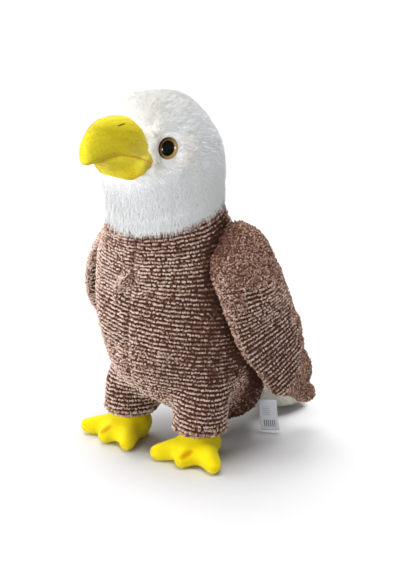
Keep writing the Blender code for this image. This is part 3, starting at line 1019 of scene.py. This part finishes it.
# the mouth seam, from the head's middle: its highest place, how fast it falls away, and how deep it is
mouth = {"peak": 17.3 * mm, "peakAhead": 55 * mm, "rear": 7.0, "front": 5.6, "from": (24 * mm, 30 * mm),
         "width": 1.3 * mm, "depth": 0.7 * mm, "stitching": 0.5 * mm}
jaw = {"back": 8 * mm, "drop": 1.0 * mm, "gathers": 0.6 * mm, "pitch": 6.5 * mm, "smooth": 40,
       "blend": 4 * mm, "lowered": (0, 9 * mm), "loweredTo": (68 * mm, 74 * mm),
       "chin": (42 * mm, 56 * mm), "corner": 0.8 * mm, "cornerWidth": 3.0 * mm,
       "cornerLow": (8 * mm, 14 * mm), "cornerTop": (22 * mm, 30 * mm),
       "cornerAhead": 36 * mm, "cornerUp": 16 * mm, "cornerLean": 0.8,
       "gathersFrom": (0, 3 * mm), "gathersTo": (12 * mm, 20 * mm), "gathersOut": (4 * mm, 12 * mm),
       "gathersUp": 20 * mm, "gathersLean": 0.35, "gathersTurn": 0.6, "gathersEven": 0.6,
       "gathersPatch": 12 * mm}
# soft pads that fill the jaw out to the cheek: place and radius
jawPads = (((30.0, -83.5, 251), 4.0), ((30.0, -84.5, 248), 5.0), ((28.5, -86.0, 246), 5.5),
           ((27.0, -87.5, 244.0), 5.7), ((24.5, -89.0, 242.0), 5.8), ((21.5, -90.5, 240.0), 6.0),
           ((17.0, -92.0, 238.5), 6.3), ((13.0, -93.5, 237.5), 6.5), ((8.5, -94.2, 237.3), 6.5),
           ((4.0, -94.5, 237.3), 6.5), ((-0.5, -94.8, 237.5), 6.5))
# how much painted shade darkens the pile in the mouth seam, between the gathers, at the corner and on the
# lower jaw
beakShade = {"mouth": 0.6, "gathers": 0.35, "corner": 0.45, "jaw": 0.25}
# painted light: the nap is paler where the beak faces ahead and up, and a little at its root, and less on
# the lower jaw
beakLight = {"front": (0.5, 0.95), "top": (0.55, 1.0), "topShare": 0.45, "root": (30 * mm, 46 * mm),
         "rootShare": 0.3, "offJaw": 0.6}
beakFinish = velourPile("beak velour", velour["beakPile"], velour["beakDeep"], velour["pressed"])
footFinish = velourPile("foot velour", velour["pile"], velour["worn"], velour["pressed"])


def mouthHeight(forward):
    # the mouth seam rises from the corner, rounds over and comes down behind the hook
    past = (forward - mouth["peakAhead"]) / mm
    bend = np.where(past < 0, mouth["rear"], mouth["front"])
    return mouth["peak"] - (past / bend) ** 2 * mm


def mouthPlace(points):
    # how far above the mouth seam, how far ahead and how far to the side
    forward, across, height = fromHead(points)
    return height - mouthHeight(forward), forward, across


tell("beak")
beakNodes = ("beak_upper", "beak_lower")
beakShapes = [nodeShape(node, shift) for node in beakNodes for shift in (None, -ahead * beak["back"])]
for place, radius in jawPads:
    for flip in (False, True):
        pad = bmesh.new()
        middle = Vector(place) * mm
        middle = acrossHead(middle) if flip else middle
        there = Matrix.Translation(middle)
        bmesh.ops.create_icosphere(pad, subdivisions=3, radius=radius * mm, matrix=there)
        beakShapes.append(pad)
beakSkin = skinOver("beak", beakShapes, beak)
points, out = readVerts(beakSkin.data), readVerts(beakSkin.data, "normal")
fromMouth, _, _ = mouthPlace(points)
points = smoothWhere(beakSkin.data, points, 1 - ease(fromMouth, -jaw["blend"], jaw["blend"]), jaw["smooth"])
fromMouth, forward, _ = mouthPlace(points)
lowered = ease(-fromMouth, *jaw["lowered"]) * (1 - ease(forward, *jaw["loweredTo"]))
chin = ease(forward, *jaw["chin"]) * lowered
points = points - np.outer(chin * jaw["back"], ahead) - np.outer(lowered * jaw["drop"], up)
fromMouth, forward, across = mouthPlace(points)
height = fromHead(points)[2]
alongMouth = ease(forward, *mouth["from"])
inMouth = bell(fromMouth, mouth["width"]) * alongMouth
lowerPart = ease(-fromMouth, *jaw["gathersFrom"]) * (1 - ease(-fromMouth, *jaw["gathersTo"]))
spread = forward - jaw["gathersLean"] * (height - jaw["gathersUp"])
gathers = np.cos(spread / jaw["pitch"] * 2 * math.pi + jaw["gathersTurn"])
gathers *= lowerPart * ease(np.abs(across), *jaw["gathersOut"])
patches = drift(points, jaw["gathersPatch"], seeds["jaw_gathers"])
gathers *= jaw["gathersEven"] + (1 - jaw["gathersEven"]) * patches
fromCorner = forward - jaw["cornerAhead"] + (height - jaw["cornerUp"]) * jaw["cornerLean"]
corner = bell(fromCorner, jaw["cornerWidth"])
corner *= ease(height, *jaw["cornerLow"]) * (1 - ease(height, *jaw["cornerTop"]))
sink = mouth["depth"] * inMouth + jaw["gathers"] * gathers + jaw["corner"] * corner
writeVerts(beakSkin.data, points - out * sink[:, None])
# painted shade in the mouth seam, the gathers and the corner, and on the lower jaw
pressed = (beakShade["mouth"] * inMouth + beakShade["gathers"] * gathers
           + beakShade["corner"] * corner + beakShade["jaw"] * lowered)
setValue(beakSkin.data, "press", np.clip(pressed, 0, 1))
setValue(beakSkin.data, "shade", np.ones(len(points)))
# painted light over the beak's front and top, and a little at its root
paintedLight = beakLight["topShare"] * ease(out[:, 2], *beakLight["top"])
paintedLight = np.maximum(ease(out @ np.array(ahead), *beakLight["front"]), paintedLight)
atRoot = beakLight["rootShare"] * (1 - ease(forward, *beakLight["root"])) * (fromMouth > 0)
setValue(beakSkin.data, "paintedLight", np.maximum(paintedLight, atRoot) * (1 - beakLight["offJaw"] * lowered))
setValue(beakSkin.data, "seam", bell(fromMouth, mouth["stitching"]) * alongMouth)
beakSurface = dress(beakSkin, beakFinish, beakNodes)

# the pinched place between each foot's toes
pinches = {"left": at(50.2, -68.7, 12.5), "right": at(-37.2, -69.5, 12.8)}
foot = {"grid": 1.4 * mm, "relaxing": 14, "depth": 0.5 * mm, "ankle": (24 * mm, 28 * mm), "reach": 5 * mm,
        "pinch": 1.1 * mm, "pinchWide": 3.6 * mm, "pinchHigh": 4.2 * mm, "pinchRear": (-14 * mm, -6 * mm),
        "pinchLean": 0.6, "pinchTilt": 0.4, "foldRounds": 12, "foldDepth": (0.05 * mm, 0.55 * mm),
        "pinchShade": 0.9, "foldShade": 0.8}


def skinHollow(mesh, points):
    # nought on flat and rounded places, and near one in the folds
    normals = readVerts(mesh, "normal")
    smooth = smoothWhere(mesh, points, np.ones(len(points)), foot["foldRounds"])
    return ease(((smooth - points) * normals).sum(1), *foot["foldDepth"])


footSurfaces = {}
for word in ("left", "right"):
    tell("foot " + word)
    node = "foot_" + word
    skin = skinOver(node + "_velour", [nodeShape(node)], foot)
    points = readVerts(skin.data)
    points[:, 2] += foot["reach"] * ease(points[:, 2], *foot["ankle"])
    points[:, 2] -= points[:, 2].min()
    x, y, z = (points - pinches[word]).T
    sideways = (x - foot["pinchLean"] * z) / foot["pinchWide"]
    upward = (z + foot["pinchTilt"] * x) / foot["pinchHigh"]
    pinch = np.exp(-sideways ** 2 - upward ** 2)
    pinch *= ease(-y, *foot["pinchRear"])
    points = points - readVerts(skin.data, "normal") * (foot["pinch"] * pinch)[:, None]
    writeVerts(skin.data, points)
    crotch = skinHollow(skin.data, points)
    # painted shade in the pinch and in the folds between the toes
    pressed = foot["pinchShade"] * pinch + foot["foldShade"] * crotch
    setValue(skin.data, "press", np.clip(pressed, 0, 1))
    setValue(skin.data, "shade", np.ones(len(points)))
    footSurfaces[word] = dress(skin, footFinish, [node])

nap = {"length": 1.1 * mm, "width": 0.34 * mm, "lift": 0.55 * mm, "perSquare": 1.1 / mm ** 2,
       "loose": 0.35, "uneven": 0.2, "sizes": (0.5, 1.6), "sunk": 0.1 * mm, "shades": (0.4, 1.0),
       "footLie": (0, -1, -0.3), "offFloor": 1.2 * mm, "offPlush": 1 * mm}
napTuft = lockTuft(nap, sides=3, joints=1)


def napRoots(surface, way, seed):
    dice = np.random.default_rng(seed)
    points, out, flat = surface.land(surface.scatter(nap["perSquare"], seed + 1))
    count = len(points)
    lie = unit(flatten(way(points), out) + flatten(dice.normal(0, nap["loose"], (count, 3)), out))
    size = np.clip(dice.normal(1.0, nap["uneven"], (count, 3)), *nap["sizes"])
    return {"place": points - out * nap["sunk"], "out": out, "along": lie, "size": size, "flat": flat,
            "shade": dice.uniform(*nap["shades"], count), "press": np.zeros(count)}


def fixed(vector):
    return lambda points: np.tile(np.array(vector), (len(points), 1))


for word in ("left", "right"):
    roots = napRoots(footSurfaces[word], fixed(nap["footLie"]), seeds["foot_" + word])
    roots = takeRoots(roots, roots["place"][:, 2] > nap["offFloor"])
    plant("foot_nap_" + word, napTuft, roots, footFinish)


eye = {
    "radius": 8.3 * mm, "rim": 7.95 * mm, "pupil": 5.9 * mm, "dome": 4.2 * mm, "rimOut": 1.0 * mm,
    "pupilDepth": 0.5 * mm, "back": 3.0 * mm, "aim": math.radians(84), "points": 64,
    "amber": (236, 196, 110), "amberDeep": (152, 112, 46), "black": (3, 2, 2), "rimBrown": (40, 27, 14),
    "domeTint": (6, 5, 5), "arcSteps": 12, "streaks": (600, 3, 0.6), "scuffs": (300, 2, 0.5),
}


def eyeAxes(word):
    turn = eye["aim"] * (1 if word == "left" else -1)
    outward = Matrix.Rotation(turn, 3, 'Z') @ ahead
    return outward, up.cross(outward)


white = {
    "grid": 2.0 * mm, "relaxing": 8, "depth": 2.4 * mm, "underCollar": 9 * mm,
    "length": 8.0 * mm, "width": 0.42 * mm, "lift": 1.9 * mm, "perSquare": 1.95 / mm ** 2,
    "loose": 0.07, "looseLift": 1.8, "shortByBeak": 0.42, "shortByEye": 0.45, "hanging": 0.45,
    "byBeak": (0, 22 * mm), "byEye": (8 * mm, 17 * mm), "byCollar": (1 * mm, 7 * mm),
    "parted": (9 * mm, 19 * mm), "partedShare": 0.6, "falls": (0, 32 * mm), "fallsFrom": 12 * mm,
    "pastSeam": 1 * mm, "offBeak": 0.8 * mm, "beakStarts": 15 * mm, "onEye": 0.4 * mm,
    "slimmest": 0.75, "lower": 0.8, "ragged": 0.6, "clipped": 0.5,
}
# the shallow fold over each eye
brow = {"line": ((35, -74, 270), (40, -65, 272), (44, -52, 275), (45, -36, 272), (43, -21, 265)),
        "reach": 3.2 * mm, "depth": 1.3 * mm}
# level ground round each eye
socket = {"level": -0.9 * mm, "flat": (9.5 * mm, 19 * mm), "deep": 12 * mm, "reach": 20 * mm,
          "inside": 0.7 * mm}
# painted shade: greyer pile where the forehead faces ahead and the crown faces up, and in the hollow between
# each eye and the beak
crest = {"forehead": (0.05, 0.6), "foreheadFrom": (232 * mm, 250 * mm), "crown": (0.6, 0.95),
         "crownShare": 0.4}
nook = {"share": 0.85, "far": (12 * mm, 23 * mm), "ahead": (3 * mm, 9 * mm)}
whiteFinish = plushPile("white plush", plush["tip"], plush["root"])


# painted shade where the forehead faces ahead and the crown faces up
def crestAt(points, out):
    forehead = ease(out @ np.array(ahead), *crest["forehead"]) * ease(points[:, 2], *crest["foreheadFrom"])
    return np.clip(forehead + crest["crownShare"] * ease(out[:, 2], *crest["crown"]), 0, 1)


# painted shade in the hollow between each eye and the beak
def nookAt(points):
    hollow = np.zeros(len(points))
    for place in eyePlace.values():
        near = 1 - ease(howFar(points, place), *nook["far"])
        towardsBeak = ease((points - np.array(place)) @ np.array(ahead), *nook["ahead"])
        hollow = np.maximum(hollow, nook["share"] * near * towardsBeak)
    return hollow


tell("head")
headShapes = [nodeShape(node) for node in ("head", "neck", "eye_left", "eye_right")]
headShapes.append(nodeShape("neck", -up * white["underCollar"]))
headSkin = skinOver("head_plush", headShapes, white)
points, out = readVerts(headSkin.data), readVerts(headSkin.data, "normal")
for flip in (1, -1):
    # the same fold over each eye, the far one mirrored across the head
    line = np.array(brow["line"]) * mm
    if flip < 0:
        line = line - 2 * ((line - np.array(headMiddle)) @ np.array(side))[:, None] * np.array(side)
    gap = np.min([fromLine(points, a, b) for a, b in zip(line, line[1:])], axis=0)
    points = points - out * (brow["depth"] * bell(gap, brow["reach"]))[:, None]
for word in ("left", "right"):
    # level ground round the eye, and a hollow behind it
    outward = np.array(eyeAxes(word)[0])
    gap = points - np.array(eyePlace[word])
    proud = gap @ outward
    far = np.linalg.norm(gap - proud[:, None] * outward, axis=1)
    near = (proud > -socket["deep"]) & (far < socket["reach"])
    raised = socket["level"] + (proud - socket["level"]) * ease(far, *socket["flat"])
    behind = -eye["pupilDepth"] - socket["inside"]
    hollow = np.where(far < eye["radius"] - socket["inside"], behind, raised)
    points = points + np.where(near, hollow - proud, 0)[:, None] * outward
writeVerts(headSkin.data, points)
shadeSkin(headSkin)
setValue(headSkin.data, "crest", crestAt(points, out))
setValue(headSkin.data, "press", nookAt(points))
headSurface = dress(headSkin, whiteFinish, ["head", "neck"])


def headLie(points, out):
    # the pile runs away from the beak, then down over the cheeks and the neck
    away = unit(flatten(points - np.array(beakRoot), out))
    down = unit(flatten(np.tile((0.0, 0.0, -1.0), (len(points), 1)), out))
    low = ease(headMiddle.z + white["fallsFrom"] - points[:, 2], *white["falls"])[:, None]
    lie = away * (1 - low) + down * low
    for place in eyePlace.values():
        near = 1 - ease(howFar(points, place), *white["parted"])
        lie = lie + unit(flatten(points - np.array(place), out)) * (white["partedShare"] * near)[:, None]
    return unit(lie)


# how soft plush lies: it swirls in patches, strays from lock to lock, and starts under its cloth
plushLie = {"swirl": 0.13, "swirlPitch": 14 * mm, "stray": 0.1, "uneven": 0.14, "sizes": (0.6, 1.5),
            "sunk": 0.3 * mm, "shades": (0.2, 1.0)}


def lockRoots(surface, lie, pile, seed):
    dice = np.random.default_rng(seed)
    points, out, flat = surface.land(surface.scatter(pile["perSquare"], seed + 1))
    count = len(points)
    way = lie(points, out)
    turn = plushLie["swirl"] * drift(points, plushLie["swirlPitch"], seed + 2)
    turn = turn + dice.normal(0, plushLie["stray"], count)
    way = way * np.cos(turn)[:, None] + np.cross(out, way) * np.sin(turn)[:, None]
    size = np.clip(dice.normal(1.0, plushLie["uneven"], (count, 3)), *plushLie["sizes"])
    return {"place": points - out * plushLie["sunk"], "out": out, "along": way, "size": size,
            "flat": flat, "facing": out, "shade": dice.uniform(*plushLie["shades"], count)}


roots = napRoots(beakSurface, fixed(ahead), seeds["beak"])
roots = takeRoots(roots, distances(headSurface, roots["place"]) > nap["offPlush"])
plant("beak_nap", napTuft, roots, beakFinish)

roots = lockRoots(headSurface, headLie, white, seeds["head"])
place = roots["place"]
roots = takeRoots(roots, place[:, 2] > seamHeight(place[:, 1]) - white["pastSeam"])
beakGap = distances(beakSurface, roots["place"])
clear = (beakGap > white["offBeak"]) | (fromHead(roots["place"])[0] < white["beakStarts"])
roots = takeRoots(roots, clear)
beakGap = np.abs(beakGap[clear])
eyeGap = np.min([howFar(roots["place"], place) for place in eyePlace.values()], axis=0)
aboveSeam = roots["place"][:, 2] - seamHeight(roots["place"][:, 1])
# shorter by the beak and round the eyes, and some longer than others where it hangs over the collar
byBeak, byEye = white["shortByBeak"], white["shortByEye"]
longness = ((byBeak + (1 - byBeak) * ease(beakGap, *white["byBeak"]))
            * (byEye + (1 - byEye) * ease(eyeGap, *white["byEye"])))
hanging = 1 - ease(aboveSeam, *white["byCollar"])
loose = np.random.default_rng(seeds["head_loose"]).random(len(eyeGap)) < white["loose"]
roots["size"][:, 0] *= longness * (1 + hanging * (white["ragged"] * roots["shade"] - white["clipped"]))
roots["size"][:, 1] *= white["slimmest"] + (1 - white["slimmest"]) * longness
roots["size"][:, 2] *= longness ** white["lower"] * (1 + white["hanging"] * hanging)
roots["size"][:, 2] *= np.where(loose, white["looseLift"], 1.0)
roots = takeRoots(roots, eyeGap > eye["radius"] - white["onEye"])
roots["crest"] = crestAt(roots["place"], roots["out"])
roots["press"] = nookAt(roots["place"])
plant("head_locks", lockTuft(white, sides=3, joints=2), roots, whiteFinish)


tail = {
    "grid": 1.8 * mm, "relaxing": 8, "depth": 2.0 * mm, "into": 8 * mm,
    "length": 6.5 * mm, "width": 0.6 * mm, "lift": 1.6 * mm, "perSquare": 0.55 / mm ** 2,
    "longer": 6 * mm, "longerFrom": (80 * mm, 116 * mm), "wider": 4 * mm, "widerFrom": (0, 30 * mm),
    "widerRear": (60 * mm, 90 * mm), "lie": (0.0, 1.0, -0.35), "lowLift": (1 * mm, 7 * mm),
    "flattest": 0.3, "intoBody": 1 * mm,
}
creamFinish = plushPile("cream plush", plush["tailTip"], plush["tailRoot"])
tell("tail")
tailShapes = [nodeShape("tail"), nodeShape("tail", Vector((0, -tail["into"], 1 * mm)))]
tailSkin = skinOver("tail_plush", tailShapes, tail)
points = readVerts(tailSkin.data)
points[:, 1] += tail["longer"] * ease(points[:, 1], *tail["longerFrom"])
wider = ease(points[:, 0], *tail["widerFrom"]) * ease(points[:, 1], *tail["widerRear"])
points[:, 0] += tail["wider"] * wider
writeVerts(tailSkin.data, points)
shadeSkin(tailSkin)
tailSurface = dress(tailSkin, creamFinish, ["tail"])


def tailLie(points, out):
    return unit(flatten(np.tile(tail["lie"], (len(points), 1)), out) + 1e-6)


roots = lockRoots(tailSurface, tailLie, tail, seeds["tail"])
roots = takeRoots(roots, distances(bodySurface, roots["place"]) > -tail["intoBody"])
# the locks lie flatter towards the floor
lifted = ease(roots["place"][:, 2], *tail["lowLift"])
roots["size"][:, 2] *= tail["flattest"] + (1 - tail["flattest"]) * lifted
plant("tail_locks", lockTuft(tail, sides=3, joints=3), roots, creamFinish)


def turned(profile, word, name, finish):
    # a profile of (radius, out) points spun round the eye's own axis
    outward, across = eyeAxes(word)
    shape = bmesh.new()
    centre = eyePlace[word]
    verts = [shape.verts.new(centre + across * r + outward * o) for r, o in profile]
    for first, second in zip(verts, verts[1:]):
        shape.edges.new((first, second))
    bmesh.ops.spin(shape, geom=shape.verts[:] + shape.edges[:], cent=centre, axis=outward,
                   angle=2 * math.pi, steps=eye["points"], use_merge=True)
    bmesh.ops.remove_doubles(shape, verts=shape.verts, dist=0.002 * mm)
    bmesh.ops.recalc_face_normals(shape, faces=shape.faces)
    piece = addPiece(name, shape, finish)
    offset = readVerts(piece.data) - np.array(centre)
    outer = offset - np.outer(offset @ np.array(outward), np.array(outward))
    rearward = outer @ np.array(across) * (1 if word == "left" else -1)
    setValue(piece.data, "fromAxis", np.linalg.norm(outer, axis=1) / eye["radius"])
    setValue(piece.data, "rearward", rearward / eye["radius"])
    setValue(piece.data, "upward", outer @ np.array(up) / eye["radius"])
    onToy(piece)
    return piece


def irisFinish():
    bench = Bench("painted iris", {"Roughness": 0.6, "Specular IOR Level": 0.02})
    far = bench.value("fromAxis")
    # painted light: the amber is brighter towards the lower rear of the ring, as if lit through the dome
    glow = bench.step(bench.value("rearward") * 0.6 - bench.value("upward") * 0.5, -0.6, 0.8)
    streaks = bench.grain(*eye["streaks"])
    amber = bench.mix(glow * 0.8 + (streaks - 0.5) * 0.4, dye(*eye["amberDeep"]), dye(*eye["amber"]))
    pupil = eye["pupil"] / eye["radius"]
    rim = eye["rim"] / eye["radius"]
    colour = bench.mix(far < pupil + 0.015, amber, dye(*eye["black"]))
    colour = bench.mix(bench.step(far, rim - 0.06, rim + 0.01), colour, dye(*eye["rimBrown"]))
    return bench.finish(colour, streaks, 0.02 * mm, 0.2)


def domeFinish():
    bench = Bench("clear dome", {"Alpha": 0.15, "Base Color": dye(*eye["domeTint"]),
                                 "Specular IOR Level": 0.28})
    return bench.finish(roughness=0.15 + bench.grain(*eye["scuffs"]) * 0.05)


tell("eyes")
iris = irisFinish()
dome = domeFinish()
for word in ("left", "right"):
    # the painted cup from its middle out: a flat pupil, a step up to the iris, the rim and the back
    depth, rimOut, radius = eye["pupilDepth"], eye["rimOut"], eye["radius"]
    cup = [(0, -depth), (eye["pupil"] * 0.5, -depth), (eye["pupil"], -depth),
           (eye["pupil"] + 0.8 * mm, -depth + 0.5 * mm), (eye["rim"] - 0.5 * mm, rimOut - 0.3 * mm),
           (eye["rim"], rimOut), (radius - 0.2 * mm, rimOut + 0.1 * mm), (radius, rimOut - 0.3 * mm),
           (radius, -eye["back"]), (0, -eye["back"])]
    cupPiece = turned(cup, word, "eye_iris_" + word, iris)
    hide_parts("eye_" + word)
    # the clear dome rises over it in a quarter arc
    angles = [k * math.pi / 2 / eye["arcSteps"] for k in range(eye["arcSteps"] + 1)]
    arc = [(eye["rim"] * math.cos(angle), rimOut - 0.3 * mm + (eye["dome"] - rimOut) * math.sin(angle))
           for angle in angles]
    turned([(0, rimOut - 0.35 * mm)] + arc, word, "eye_dome_" + word, dome)


stitch = {
    "start": (10.0, -97.6, 273.7), "stop": (12.6, -90.4, 276.4), "thread": 0.6 * mm, "strands": 2,
    "twist": 1.6, "steps": 14, "sides": 6, "sunk": 0.2 * mm, "ends": 1.4 * mm, "apart": 0.45,
    "colour": (12, 11, 11), "worn": (40, 36, 33), "ply": (3000, 3, 0.6),
}


def threadFinish():
    bench = Bench("black thread", {"Roughness": 0.7, "Specular IOR Level": 0.2})
    ply = bench.grain(*stitch["ply"])
    colour = bench.mix(ply, dye(*stitch["colour"]), dye(*stitch["worn"]))
    return bench.finish(colour, ply, 0.05 * mm, 0.5)


thread = threadFinish()
for word in ("left", "right"):
    start, stop = (Vector(stitch[end]) * mm for end in ("start", "stop"))
    if word == "right":
        start, stop = acrossHead(start), acrossHead(stop)
    start, out = beakSurface.tree.find_nearest(start)[:2]
    stop = beakSurface.tree.find_nearest(stop)[0]
    run = stop - start
    upright = run.normalized().to_track_quat('Z', 'Y').to_matrix().to_4x4()
    shape = bmesh.new()
    for strand in range(stitch["strands"]):
        ring = bmesh.ops.create_circle(shape, segments=stitch["sides"], radius=stitch["thread"] / 2)["verts"]
        edges = shape.edges[:][-stitch["sides"]:]
        bmesh.ops.rotate(shape, verts=ring, matrix=upright)
        for step in range(stitch["steps"] + 1):
            share = step / stitch["steps"]
            angle = 2 * math.pi * (stitch["twist"] * share + strand / stitch["strands"])
            high = 0.5 * stitch["thread"] - stitch["sunk"] - stitch["ends"] * (2 * share - 1) ** 6
            middle = start + run * share + out * high
            turn = upright @ Vector((math.cos(angle), math.sin(angle), 0))
            middle += turn * stitch["thread"] * stitch["apart"]
            if step:
                ring, edges = grow(shape, edges)
            bmesh.ops.translate(shape, verts=ring, vec=middle - ringMiddle(ring))
    closeEnds(shape)
    bmesh.ops.recalc_face_normals(shape, faces=shape.faces)
    piece = addPiece("stitch_" + word, shape, thread)
    onToy(piece)
    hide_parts("nostril_" + word)


label = {
    "width": 15.5 * mm, "length": 27 * mm, "thick": 0.25 * mm, "turn": math.radians(34),
    "bow": 3.0 * mm, "curl": 0.5 * mm, "drift": 3.0 * mm, "out": 0.4 * mm,
    "satin": (204, 208, 214), "ink": (44, 46, 56), "weave": (2400, 2, 0.5),
}
# the plain bars and rules on it, and from where to where they run as shares of its width and length
printed = {
    "bars": {"count": 9, "thick": 0.45, "ink": 0.9, "across": (0.2, 0.82), "down": (0.62, 0.86)},
    "rules": {"count": 16, "thick": 0.3, "ink": 0.5, "across": (0.2, 0.6), "down": (0.2, 0.5)},
}


def satinFinish():
    bench = Bench("label satin", {"Roughness": 0.42, "Sheen Weight": 0.2})
    across = bench.value("across")
    down = bench.value("down")
    weave = bench.grain(*label["weave"], bench.stretch((1.0, 1.0, 0.25)))
    ink = 0
    for name, along in (("bars", across), ("rules", down)):
        look = printed[name]
        share = bench.add("ShaderNodeMath", {"operation": "FRACT"}, {0: along * look["count"]})
        marks = share < look["thick"]
        for place, (low, high) in ((across, look["across"]), (down, look["down"])):
            marks = marks * (place > low) * (place < high)
        ink = ink + marks * look["ink"]
    colour = bench.mix(ink, dye(*label["satin"]), dye(*label["ink"]))
    return bench.finish(colour, weave, 0.05 * mm, 0.3)


tell("label")
low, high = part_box("label")
wide = Vector((math.cos(label["turn"]), math.sin(label["turn"]), 0))
outward = Vector((math.sin(label["turn"]), -math.cos(label["turn"]), 0))
labelTop = Vector(((low.x + high.x) / 2 - label["drift"] * wide.x / 2,
                   (low.y + high.y) / 2 + label["out"], high.z))
shape = bmesh.new()
bmesh.ops.create_grid(shape, x_segments=10, y_segments=20, size=0.5)
shares = [(vert.co.x + 0.5, 0.5 - vert.co.y) for vert in shape.verts]
for vert, (acrossShare, downShare) in zip(shape.verts, shares):
    curl = label["curl"] * math.sin(math.pi * acrossShare) * downShare
    vert.co = (labelTop + wide * ((acrossShare - 0.5) * label["width"] + label["drift"] * downShare)
               - up * label["length"] * downShare
               + outward * (label["bow"] * math.sin(math.pi * downShare) + curl))
piece = addPiece("label_satin", shape, satinFinish())
setValue(piece.data, "across", [share[0] for share in shares])
setValue(piece.data, "down", [share[1] for share in shares])
thick = piece.modifiers.new("thickness", 'SOLIDIFY')
thick.thickness = label["thick"]
thick.offset = 0.0
bakeModifiers(piece)
onToy(piece)
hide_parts("label")


# each lamp: its turn and its lift in degrees, and its strength
lamps = {"top": (0, 90, 3.2), "front": (-42, 12, 2.55), "left": (-95, 24, 1.3), "behind": (-130, 40, 1.3),
         "fill": (12, 9, 1.65), "right": (80, 15, 0.4)}
studio = {
    "floorSize": 12.0, "floor": (214, 214, 215), "floorWorn": (209, 209, 211), "sky": 0.06,
    "backdrop": 1.0, "soft": 46, "target": (28.7, -24.2, 139), "cameraTurn": 41, "cameraLift": 15,
    "distance": 1.25, "lens": 99, "catch": 130, "catchSize": 0.012, "catchCone": 4, "catchTurn": 35,
    "catchLift": -8, "catchAway": 0.6, "stains": (3, 2, 0.5), "paper": (400, 2, 0.5),
}


def fromAngles(turn, lift):
    turn, lift = math.radians(turn), math.radians(lift)
    return Vector((math.sin(turn) * math.cos(lift), -math.cos(turn) * math.cos(lift), math.sin(lift)))


def aim(item, place, target):
    item.location = place
    item.rotation_euler = (target - place).to_track_quat('-Z', 'Y').to_euler()


def floorFinish():
    bench = Bench("studio floor", {"Roughness": 0.55, "Specular IOR Level": 0.3})
    stains = bench.grain(*studio["stains"])
    colour = bench.mix(stains * 0.4, dye(*studio["floor"]), dye(*studio["floorWorn"]))
    return bench.finish(colour, bench.grain(*studio["paper"]), 0.05 * mm, 0.1)


tell("studio")
shape = bmesh.new()
bmesh.ops.create_grid(shape, x_segments=8, y_segments=8, size=studio["floorSize"] / 2)
floor = addPiece("floor", shape, floorFinish())

target = Vector(studio["target"]) * mm
for name, (turn, lift, strength) in lamps.items():
    lamp = bpy.data.lights.new(name, 'SUN')
    lamp.energy = strength
    lamp.angle = math.radians(studio["soft"])
    placed = link(name, lamp)
    placed.visible_glossy = False
    aim(placed, target + fromAngles(turn, lift), target)

# a narrow lamp that only puts the glint in the near eye
catch = bpy.data.lights.new("catch light", 'SPOT')
catch.energy = studio["catch"]
catch.spot_size = math.radians(studio["catchCone"])
catch.shadow_soft_size = studio["catchSize"]
catchLamp = link("catch light", catch)
catchLamp.visible_diffuse = False
catchPlace = fromAngles(studio["catchTurn"], studio["catchLift"]) * studio["catchAway"]
aim(catchLamp, eyePlace["left"] + catchPlace, eyePlace["left"])

world = bpy.data.worlds.new("studio")
bpy.context.scene.world = world
world.use_nodes = True
sky = world.node_tree.nodes["Background"]
sky.inputs["Color"].default_value = (1, 1, 1, 1)
# the sky lights the toy only a little, but looks as pale as the floor behind it
seen = world.node_tree.nodes.new("ShaderNodeLightPath")
glow = world.node_tree.nodes.new("ShaderNodeMapRange")
glow.inputs["To Min"].default_value = studio["sky"]
glow.inputs["To Max"].default_value = studio["backdrop"]
world.node_tree.links.new(seen.outputs["Is Camera Ray"], glow.inputs["Value"])
world.node_tree.links.new(glow.outputs["Result"], sky.inputs["Strength"])

camera = bpy.data.cameras.new("camera")
camera.lens = studio["lens"]
viewer = link("camera", camera)
viewerPlace = fromAngles(studio["cameraTurn"], studio["cameraLift"]) * studio["distance"]
aim(viewer, target + viewerPlace, target)
bpy.context.scene.camera = viewer
bpy.context.scene.view_settings.view_transform = 'Standard'

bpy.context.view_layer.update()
tell("done")
